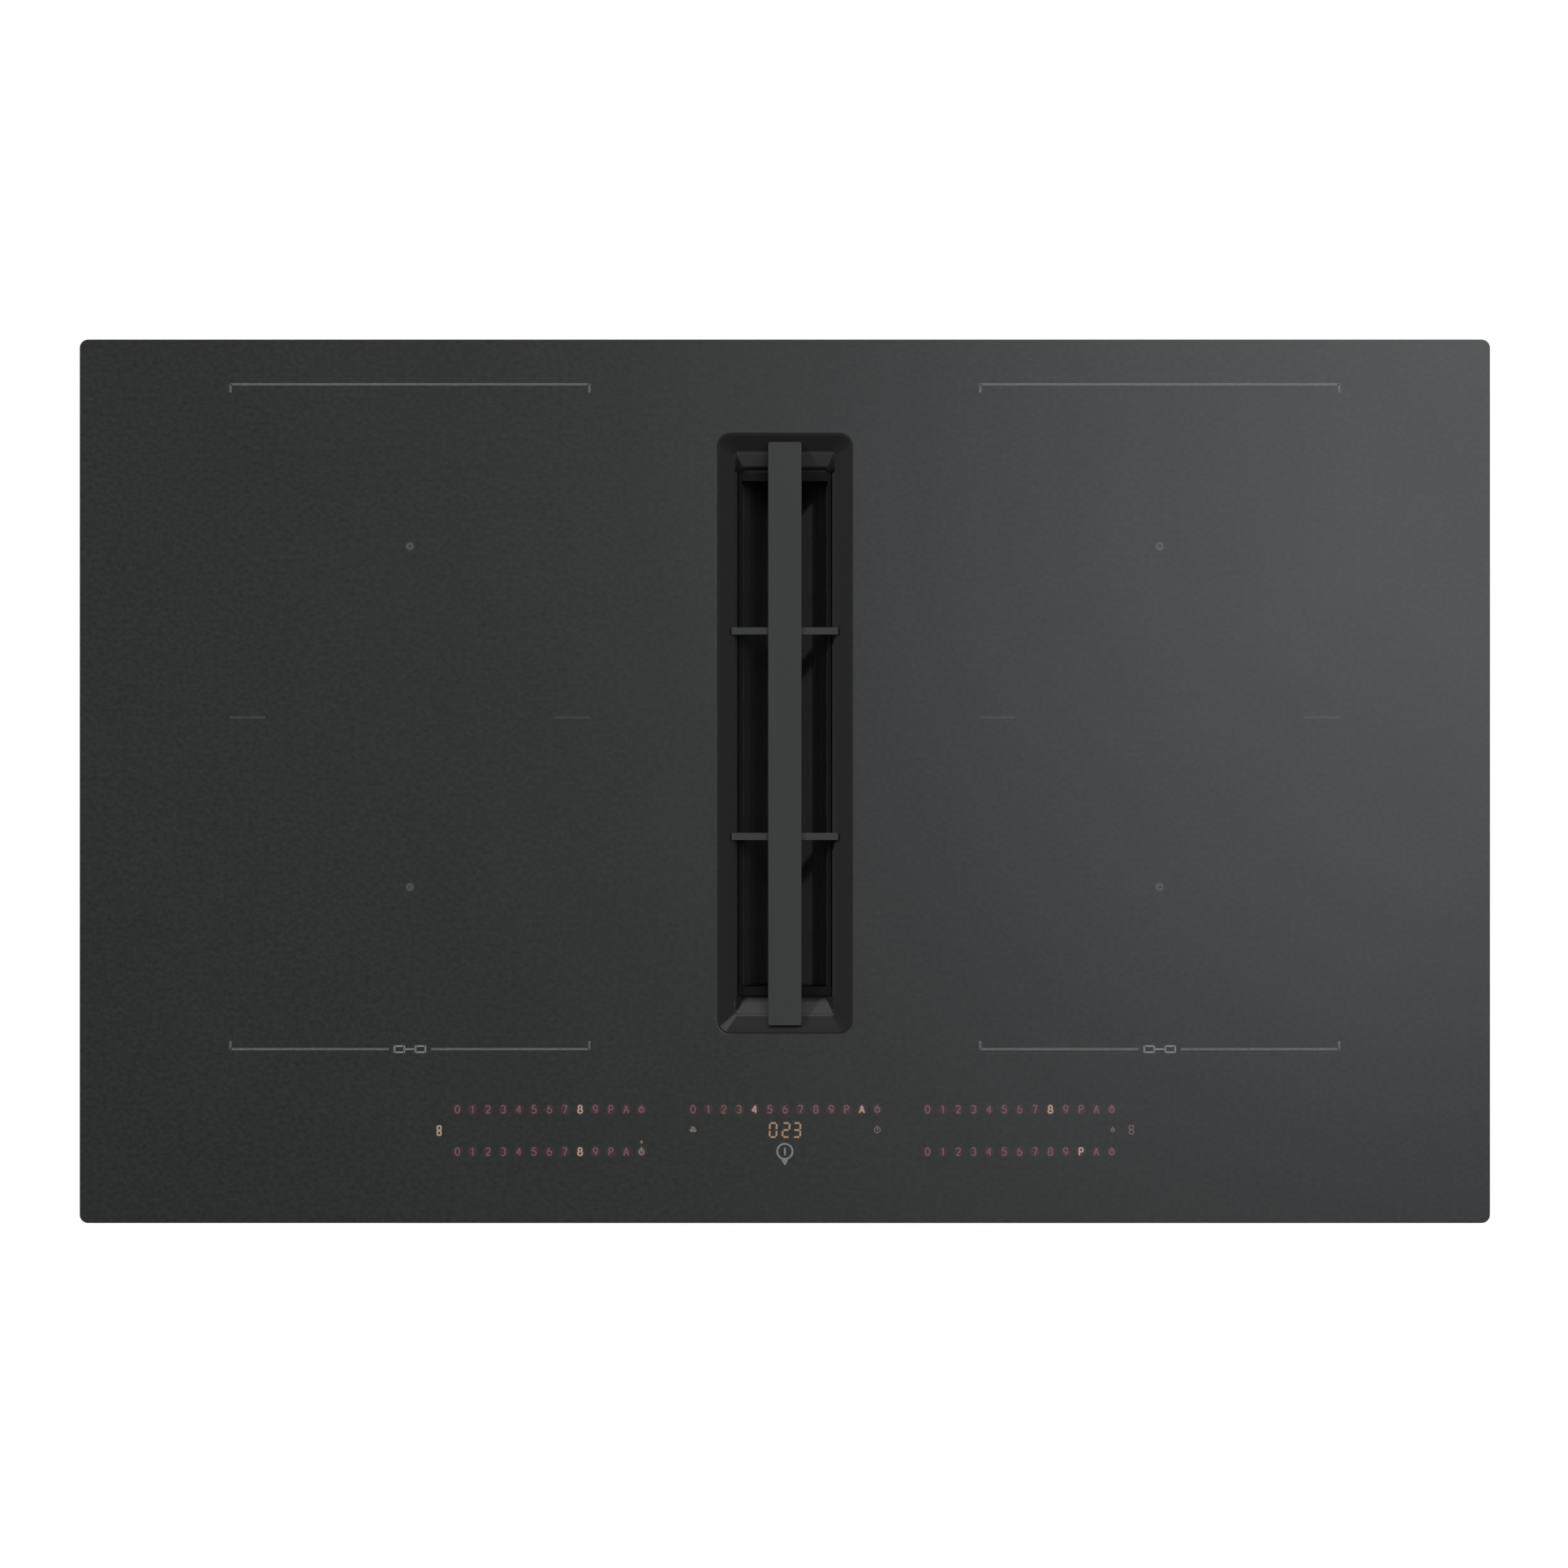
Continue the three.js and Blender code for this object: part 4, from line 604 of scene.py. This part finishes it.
bosses = turned_to(boss, [(x, y, flange_z) for x, y in boss_spots], (0, 0, 1))
fitted("flange_bosses", surface("bosses", bosses), black_plastic, "hob", ease=0.4)
spots = [(x, y, flange_z - boss_length) for x, y in boss_spots]
screws("flange_screws", 2.9, spots, (0, 0, -1), bright_steel, "hob")
upper_low, upper_high = span("blower_upper_shell")
sunk = 0.4
for name, half, out, foot, top, along_side, along_front, ease in (
    ("plenum_hooks", 7, 2.4, 86, 112, (-100, -20, 60, 140), (110, 200, 290), 0.8),
    ("plenum_ribs", rib_half, 1.9, 116, 153, np.arange(-110, 200, 31), np.arange(85, 330, 24), 0.4),
):
    blocks = [
        ((upper_high[0] - sunk, y - half, foot), (upper_high[0] + out, y + half, top))
        for y in along_side
    ]
    blocks += [
        ((x - half, upper_low[1] - out, foot), (x + half, upper_low[1] + sunk, top))
        for x in along_front
    ]
    bars(name, blocks, black_plastic, "hob", ease)

# ---------------------------------------------------------------- outlet
# A rectangular spigot, screwed over the scroll's outlet on a foam seal. A flat duct slides over it and
# stops at its flange.
eased("duct_spigot", "outlet_spigot", black_plastic, "hob", 0.6)
low, high = span("outlet_spigot")
flange_thickness, inset, middle_z = 3.3, 3.1, 48.5
flange_y = span("outlet_seal")[1][1] + flange_thickness
spots = [
    (x, flange_y, z) for x in (low[0] + inset, high[0] - inset)
    for z in (low[2] + inset, middle_z, high[2] - inset)
]
screws("duct_screws", 2.2, spots, (0, 1, 0), bright_steel, "hob")

# ---------------------------------------------------------------- glass top
# A sheet of glass ceramic with a fine matt grain, ground edges and a slot with round corners. A foam
# strip seals it to the worktop.
dressed(foam, "glass_edge_seal")
glass_roughness, glass_grain, glass_gloss = 0.325, 420, 0.75
glass = finish(
    "matt glass ceramic", (0.0187, 0.0205, 0.0196), glass_roughness, 0.27, glass_grain, (0.8, 1, 1),
    0.01, 0.001, Specular_IOR_Level=glass_gloss,
)
low, high = span("glass_panel")
glass_corner = 5
trim_low, trim_high = span("intake_trim")
slot_y = (trim_low[1] + trim_high[1]) / 2
slot_half_width, slot_half_length, slot_corner = 40, 177, 8
slot_edge = rings(
    [[slot_half_width, slot_half_length, slot_corner, z] for z in (low[2], high[2])], (0, slot_y), 10
)
glass_edge = rings([[*high[:2], glass_corner, z] for z in (high[2], low[2])], (0, 0), 10)
fitted(
    "glass_top", surface("glass", np.concatenate([slot_edge, glass_edge]), close=(True, True)),
    glass, "hob", ["glass_panel"], ease=0.4, steps=3,
)


# ---------------------------------------------------------------- printed marks
# Grey ceramic ink, fired into the face of the glass: a bracket at the front and back of each pair of
# zones, a mark in the middle of each zone, short lines between two zones, and the ring of the main key.
def drawn(strokes, count=25):
    """Points along strokes. Four numbers are a line's ends, and six are an oval's middle, half sizes
    and its first and last angle in degrees."""
    t = np.linspace(0, 1, count)
    paths = []
    for stroke in strokes:
        if len(stroke) == 4:
            x0, y0, x1, y1 = stroke
            paths.append(np.stack([x0 + (x1 - x0) * t, y0 + (y1 - y0) * t], axis=-1))
        else:
            x, y, half_x, half_y, first, last = stroke
            angle = np.radians(first + (last - first) * t)
            paths.append(np.stack([x + half_x * np.cos(angle), y + half_y * np.sin(angle)], axis=-1))
    return np.array(paths)


def inked(name, paths, width, look, layer=0.05):
    """A layer of ink or light as wide as width, along paths on the face of the glass."""
    path = np.insert(paths, 2, face + layer / 2, axis=-1)
    return fitted(name, surface(name, strip(path, width, layer)), look, "hob")


def ink(name, shade):
    """Ceramic ink with the gloss of the glass that it is fired into."""
    return finish(
        name, (shade,) * 3, glass_roughness, 0.2, glass_grain, depth=0.001,
        Specular_IOR_Level=glass_gloss,
    )


def circle(x, y, radius):
    """The stroke of a whole circle."""
    return (x, y, radius, radius, 0, 360)


grey_ink, pale_ink, thin_ink = ink("grey ink", 0.094), ink("pale ink", 0.185), ink("thin ink", 0.038)
zone_x, zone_back, zone_front = 220.6, 138.3, -62.2
bracket_half, bracket_leg = 105.6, 4.8
bracket_back, bracket_front = 233.6, -157.6
gap_half = 12.4
overlap = 0.4
box_x, box_half, box_rise, link_half = 6.2, 2.9, 1.8, 3.3
brackets, bridge_signs = [], []
for x in (-zone_x, zone_x):
    left, right = x - bracket_half, x + bracket_half
    brackets += [
        (left, bracket_back, right, bracket_back),
        (left, bracket_back + overlap, left, bracket_back - bracket_leg),
        (right, bracket_back + overlap, right, bracket_back - bracket_leg),
        (left, bracket_front, x - gap_half, bracket_front),
        (x + gap_half, bracket_front, right, bracket_front),
        (left, bracket_front - overlap, left, bracket_front + bracket_leg),
        (right, bracket_front - overlap, right, bracket_front + bracket_leg),
    ]
    low, high = bracket_front - box_rise, bracket_front + box_rise
    for middle in (x - box_x, x + box_x):
        left, right = middle - box_half, middle + box_half
        bridge_signs += [
            (left, low, right, low), (left, high, right, high),
            (left, low - overlap, left, high + overlap), (right, low - overlap, right, high + overlap),
        ]
    bridge_signs += [(x - link_half, bracket_front, x + link_half, bracket_front)]
inked("zone_brackets", drawn(brackets), 1.35, grey_ink)
inked("zone_bridge_signs", drawn(bridge_signs), 0.95, pale_ink)
middles = [(x, y) for x in (-zone_x, zone_x) for y in (zone_back, zone_front)]
dots = [circle(x, y, radius) for x, y in middles for radius in (0.5, 1.25)]
inked("zone_middles", drawn(dots), 1.1, grey_ink)
pair_y, pair_near, pair_far = 37.6, 85, 106
faint = [circle(x, y, 2.1) for x, y in middles]
for x in (-zone_x, zone_x):
    faint += [(x - pair_far, pair_y, x - pair_near, pair_y), (x + pair_near, pair_y, x + pair_far, pair_y)]
inked("zone_faint_marks", drawn(faint), 1.5, thin_ink, 0.03)

# ---------------------------------------------------------------- touch controls
# Lamps behind the glass light the figures of five sliders, a clock of seven-part figures, and small
# signs. Only the chosen figures are at full light. A red glow round each figure is painted light.
figures = {
    "0": [(0.5, 0.5, 0.42, 0.5, 0, 360)],
    "1": [(0.55, 0, 0.55, 1), (0.55, 1, 0.25, 0.78)],
    "2": [(0.48, 0.72, 0.42, 0.28, 170, -40), (0.8, 0.54, 0.05, 0), (0.05, 0, 0.95, 0)],
    "3": [(0.45, 0.75, 0.4, 0.25, 150, -90), (0.45, 0.25, 0.45, 0.25, 90, -150)],
    "4": [(0.72, 0, 0.72, 1), (0.72, 1, 0.05, 0.3), (0.05, 0.3, 0.95, 0.3)],
    "5": [(0.88, 1, 0.18, 1), (0.18, 1, 0.12, 0.55), (0.45, 0.31, 0.46, 0.31, 130, -150)],
    "6": [(0.5, 0.3, 0.42, 0.3, 0, 360), (0.88, 0.3, 0.8, 0.7, 180, 112)],
    "7": [(0.05, 1, 0.95, 1), (0.95, 1, 0.38, 0)],
    "8": [(0.5, 0.76, 0.36, 0.24, 0, 360), (0.5, 0.26, 0.44, 0.26, 0, 360)],
    "9": [(0.5, 0.7, 0.42, 0.3, 0, 360), (0.12, 0.7, 0.8, 0.7, 0, -68)],
    "P": [(0.15, 0, 0.15, 1), (0.15, 1, 0.5, 1), (0.5, 0.73, 0.4, 0.27, 90, -90), (0.5, 0.46, 0.15, 0.46)],
    "A": [(0.02, 0, 0.5, 1), (0.5, 1, 0.98, 0), (0.2, 0.34, 0.8, 0.34)],
    "clock": [
        (0.5, 0.46, 0.48, 0.36, 0, 360), (0.5, 0.46, 0.5, 0.7), (0.5, 0.46, 0.68, 0.46),
        (0.35, 1, 0.65, 1),
    ],
    "bridge": [
        (0.1, 0.55, 0.9, 0.55), (0.1, 1, 0.9, 1), (0.1, 0.55, 0.1, 1), (0.9, 0.55, 0.9, 1),
        (0.1, 0, 0.9, 0), (0.1, 0.45, 0.9, 0.45), (0.1, 0, 0.1, 0.45), (0.9, 0, 0.9, 0.45),
    ],
    "fan": [(0.5, 0.5, 0.12, 0.1, 0, 360)] + [
        (0.5 + 0.3 * math.cos(a), 0.5 + 0.26 * math.sin(a), 0.22, 0.18, 0, 360)
        for a in (math.pi / 2, math.pi * 7 / 6, math.pi * 11 / 6)
    ],
}
figure_width, figure_height = 2.9, 4.4


def figure(sign, x, y, width=figure_width, height=figure_height):
    """A figure's strokes, scaled from a unit square to its size and moved to its middle."""
    scaled = []
    for s in figures[sign]:
        moved = [x + (s[0] - 0.5) * width, y + (s[1] - 0.5) * height]
        if len(s) == 4:
            moved += [x + (s[2] - 0.5) * width, y + (s[3] - 0.5) * height]
        else:
            moved += [s[2] * width, s[3] * height, s[4], s[5]]
        scaled.append(moved)
    return scaled


def backlit(name, color, light, strength):
    """A translucent print with a lamp behind it: its colour in daylight and the light it gives."""
    look = finish(
        name, color, glass_roughness, 0.1, glass_grain, depth=0.001, Specular_IOR_Level=glass_gloss
    )
    shader = look.node_tree.nodes["Principled BSDF"]
    shader.inputs["Emission Color"].default_value = (*light, 1)
    shader.inputs["Emission Strength"].default_value = strength
    return look


figure_pitch = 9.03
back_row, middle_row, front_row = -193.0, -205, -217.9
slider_signs = [*"0123456789PA", "clock"]
sliders = [
    (-192.7, back_row, "8"), (-192.7, front_row, "8"), (-54.0, back_row, "4A"), (84.0, back_row, "8"),
    (84.0, front_row, "P"),
]
pale_timer = (sliders[1][0] + 12 * figure_pitch, sliders[1][1])
dim_strokes, lit_strokes, spots = [], [], []
for first_x, y, chosen in sliders:
    for place, sign in enumerate(slider_signs):
        spot = (first_x + place * figure_pitch, y)
        spots.append(spot)
        if spot != pale_timer:
            (lit_strokes if sign in chosen else dim_strokes).extend(figure(sign, *spot))
dim_strokes += figure("clock", 54.4, middle_row, 3.6, 4.4)
dim_strokes += figure("bridge", 203.9, middle_row, 3, 5) + figure("clock", 192.9, middle_row, 2.2, 2.8)
lit_strokes += figure("bridge", -203.4, middle_row - 0.5, 2.6, 5.4)
pale_strokes = figure("fan", -54, middle_row, 3.4, 3.4) + figure("clock", *pale_timer)
pale_strokes += [circle(pale_timer[0], pale_timer[1] + 5.7, 0.4)]
dim_light = backlit("figures at rest", (0.05, 0.045, 0.045), (1.0, 0.4, 0.38), 0.11)
lit_light = backlit("chosen figures", (0.08, 0.068, 0.055), (1.0, 0.72, 0.52), 0.3)
pale_light = backlit("pale figures", (0.06, 0.06, 0.055), (1.0, 0.85, 0.6), 0.12)
amber_light = backlit("clock figures", (0.06, 0.05, 0.045), (1.0, 0.54, 0.28), 0.27)
inked("slider_figures", drawn(dim_strokes), 0.65, dim_light)
inked("chosen_figures", drawn(lit_strokes), 0.88, lit_light)
inked("pale_figures", drawn(pale_strokes), 0.8, pale_light)
# The red glow round each figure is painted light: discs that give faint light, laid on the glass.
for name, half_x, half_y, strength, layer in (
    ("wide_painted_glow", 1.6, 1.8, 0.013, 0.02), ("near_painted_glow", 1.2, 1.5, 0.03, 0.03),
):
    painted_glow = backlit(name.replace("_", " "), (0.0185, 0.0203, 0.0194), (1.0, 0.12, 0.28), strength)
    inked(name, drawn([(x, y, half_x, half_y, 0, 360) for x, y in spots]), 2 * half_x, painted_glow, layer)

# The clock's figures are made of up to seven straight parts, a to g, with a gap at both ends of each.
parts = {
    "a": (0, 1, 1, 1), "b": (1, 1, 1, 0.5), "c": (1, 0.5, 1, 0), "d": (0, 0, 1, 0),
    "e": (0, 0, 0, 0.5), "f": (0, 0.5, 0, 1), "g": (0, 0.5, 1, 0.5),
}
clock_width, clock_height, clock_lean, clock_gap = 4.0, 8.2, 0.05, 0.12
clock_y = -205.2
clock_strokes = []
for lit_parts, clock_x in (("abcdef", -7.0), ("abged", 0.6), ("abgcd", 7.0)):
    for part in lit_parts:
        x0, y0, x1, y1 = parts[part]
        dx, dy = (x1 - x0) * clock_gap, (y1 - y0) * clock_gap
        clock_strokes.append((
            clock_x + (x0 + dx - 0.5 + clock_lean * y0) * clock_width,
            clock_y + (y0 + dy - 0.5) * clock_height,
            clock_x + (x1 - dx - 0.5 + clock_lean * y1) * clock_width,
            clock_y + (y1 - dy - 0.5) * clock_height,
        ))
inked("clock_figures", drawn(clock_strokes), 1.1, amber_light)
key_y, key_radius, key_bar = -217.8, 4.5, 2.2
pointer = ((1.7, 5.5), (1.2, 6.4), (0.6, 7.3))
main_key = [circle(0, key_y, key_radius), (0, key_y + key_bar, 0, key_y - key_bar)]
main_key += [(-half, key_y - drop, half, key_y - drop) for half, drop in pointer]
inked("main_key_ring", drawn(main_key), 1.05, pale_ink)

# ---------------------------------------------------------------- intake trim
# A moulded funnel in the slot: a sloped black border all round, a steeper throat inside it whose grey is
# painted light, and a ledge for the filter. It hangs from a flange under the glass.
trim_black = finish(
    "satin trim", (0.0145, 0.0145, 0.0145), 0.2, 0.08, 2200, spread=0.01, depth=0.0005,
    Specular_IOR_Level=0.14,
)
# A lighter grey: the end plates' own colour, and painted light on the steep throat wall.
grey_ends_and_painted_wall_light = finish(
    "grey ends and painted wall light", (0.037, 0.037, 0.037), 0.25, 0.08, 1800, spread=0.01, depth=0.001,
    Specular_IOR_Level=0.14,
)
funnel = [
    [39.5, 176.5, 7.5, -4.3], [39.5, 176.5, 7.5, -0.6], [38.7, 175.7, 6.7, -0.6],
    [29.8, 166.4, 3, -4.8], [27.6, 156, 3, -12.8], [28.3, 156, 3, -13], [28.3, 152.3, 3, -13],
    [28.3, 152.3, 3, -61.6], [30.3, 154.3, 5, -61.6], [30.3, 154.3, 5, -15], [30.3, 168.4, 5, -15],
    [30.3, 168.4, 5, -7], [38.6, 175.6, 7.5, -6.3], [54, 191, 8, -6.3], [54, 191, 8, -4.3],
]
rim_width, rim_end, rim_corner, rim_z = funnel[3]
stations = [[w, l, c, face + z] for w, l, c, z in funnel]
# The steep wall below the border takes the lighter grey as painted light, so that it looks lit.
painted_wall_light = np.array([station == funnel[3] for station in funnel], dtype=int)[:, None]
fitted(
    "intake_funnel",
    surface("funnel", rings(stations, (0, slot_y), 12), close=(True, True), look=painted_wall_light),
    [trim_black, grey_ends_and_painted_wall_light], "hob", ["intake_trim"], ease=0.35, sharp=15,
)
sealant = [
    [39.4, 176.4, 7.4, -2.2], [39.4, 176.4, 7.4, -0.75], [39.75, 176.75, 7.75, -0.5],
    [40.1, 177.1, 8.1, -0.75], [40.1, 177.1, 8.1, -2.2],
]
stations = [[w, l, c, face + z] for w, l, c, z in sealant]
fitted(
    "funnel_sealant", surface("sealant", rings(stations, (0, slot_y), 12), close=(True, True)), foam,
    "hob",
)

# Each end of the funnel is a plate that narrows as it goes down, between two folds that turn from the
# long side to the end: straight lines from the rim's round corner to a smaller one below.
fold_narrow, fold_corner, fold_steps, lap = 24.6, 1.2, 8, 0.1
foot_end, foot_z = funnel[4][1] + lap, funnel[4][3] + 0.6
turn = np.linspace(0, np.pi / 2, fold_steps)
down = np.linspace(0, 1, 5)[:, None, None]


def corner_arc(half_width, end, radius):
    """A quarter turn about a corner, after a point on the long side and before one on the middle line."""
    arc = np.stack(
        [half_width - radius + radius * np.cos(turn), end - radius + radius * np.sin(turn)], axis=-1
    )
    return np.vstack([[half_width, foot_end - 1.0], arc, [0, end]])


top = np.insert(corner_arc(rim_width + lap, rim_end + lap, rim_corner), 2, rim_z + 0.02, axis=1)
foot = np.insert(corner_arc(fold_narrow, foot_end, fold_corner), 2, foot_z, axis=1)
foot[0] = foot[1]
fold = top + (foot - top) * down
plate_side = np.zeros(fold.shape[1] - 1, dtype=int)
plate_side[1 + fold_steps // 2:] = 1
for end, sign_y in (("front", -1), ("rear", 1)):
    halves = np.array([fold * [sign_x, sign_y, 1] for sign_x in (-1, 1)]) + [0, slot_y, face]
    plate = fitted(
        f"funnel_end_{end}", surface("end", halves, close=(False, False), look=plate_side),
        [trim_black, grey_ends_and_painted_wall_light], "hob", sharp=50,
    )
    wall = plate.modifiers.new("plate thickness", "SOLIDIFY")
    wall.thickness, wall.offset = 0.0002, -1

# ---------------------------------------------------------------- grease filter
# Two sloping screens in a black frame that lifts out. Each is a thin ribbed sheet with rows of long
# slots between its ribs.
filter_black = finish(
    "filter frame", (0.006, 0.006, 0.006), 0.6, 0.1, 2000, depth=0.01, Specular_IOR_Level=0.1
)
screen_steel = finish(
    "dark screen", (0.02, 0.02, 0.02), 0.6, 0.1, 1500, (1, 0.1, 1), 0.05, 0.005,
    Specular_IOR_Level=0.2,
)
eased("filter_basket", "filter_frame", filter_black, "grease_filter", 0.25)
rib_count, rib_height, sink = 6, 0.16, 0.3
slot_rows = 9
rib_points = np.array([0, 0.15, 0.3, 0.42, 0.5, 0.56, 0.62, 0.8])
slot_at = 4
row_points = np.array([0, 0.06])
across = np.append(np.arange(rib_count)[:, None] + rib_points, rib_count) / rib_count
along = np.append(np.arange(slot_rows)[:, None] + row_points, slot_rows) / slot_rows
slotted = np.arange(len(across) - 1) % len(rib_points) == slot_at
long_part = np.arange(len(along) - 1) % len(row_points) == 1
solid_faces = ~(slotted[:, None] & long_part[None, :])
sheet_over, top_offset, foot_offset = 0.6, np.array([0.3, 1.2]), np.array([1.0, 0.8])
for side, sign in (("left", -1), ("right", 1)):
    low, high = span(f"filter_screen_{side}")
    top = np.array([max(abs(low[0]), abs(high[0])), high[2]]) + top_offset
    foot = np.array([min(abs(low[0]), abs(high[0])), low[2]]) + foot_offset
    slope = top - foot
    out = np.array([-slope[1], slope[0]]) / np.hypot(*slope)
    ridge = rib_height * (0.5 - 0.5 * np.cos(2 * np.pi * across * rib_count)) - sink
    x = foot[0] + across * slope[0] + ridge * out[0]
    z = foot[1] + across * slope[1] + ridge * out[1]
    y = low[1] - sheet_over + along * (high[1] - low[1] + 2 * sheet_over)
    sheet = np.stack(np.broadcast_arrays(sign * x[:, None], y[None, :], z[:, None]), axis=-1)
    screen = fitted(
        f"filter_mesh_{side}",
        surface("screen", sheet, close=(False, False), keep=solid_faces), screen_steel,
        "grease_filter", [f"filter_screen_{side}"], sharp=60,
    )
    wall = screen.modifiers.new("sheet thickness", "SOLIDIFY")
    wall.thickness, wall.offset = 0.0005, 0

# ---------------------------------------------------------------- cover grille
# A painted steel bar hides the filter. It is fixed on a spine and two cross bars, whose ends stand on
# the border of the trim, and lifts off by hand.
bar_paint = finish(
    "grey powder coat", (0.0275, 0.0305, 0.0293), 0.56, 0.1, 1300, spread=0.02, depth=0.006,
    Specular_IOR_Level=0.4,
)
low, high = span("grille_bar")
half_width, half_length = high[0], (high[1] - low[1]) / 2
bar_corner = 1.2
bar_rings = domed([[half_width, half_length, bar_corner, z] for z in (low[2], high[2])], (0, slot_y), 4)
fitted(
    "cover_bar", surface("bar", bar_rings), bar_paint, "cover_grille", ["grille_bar"],
    ease=0.35,
)
eased("cover_crossbars", "grille_frame", bar_paint, "cover_grille", 0.3)
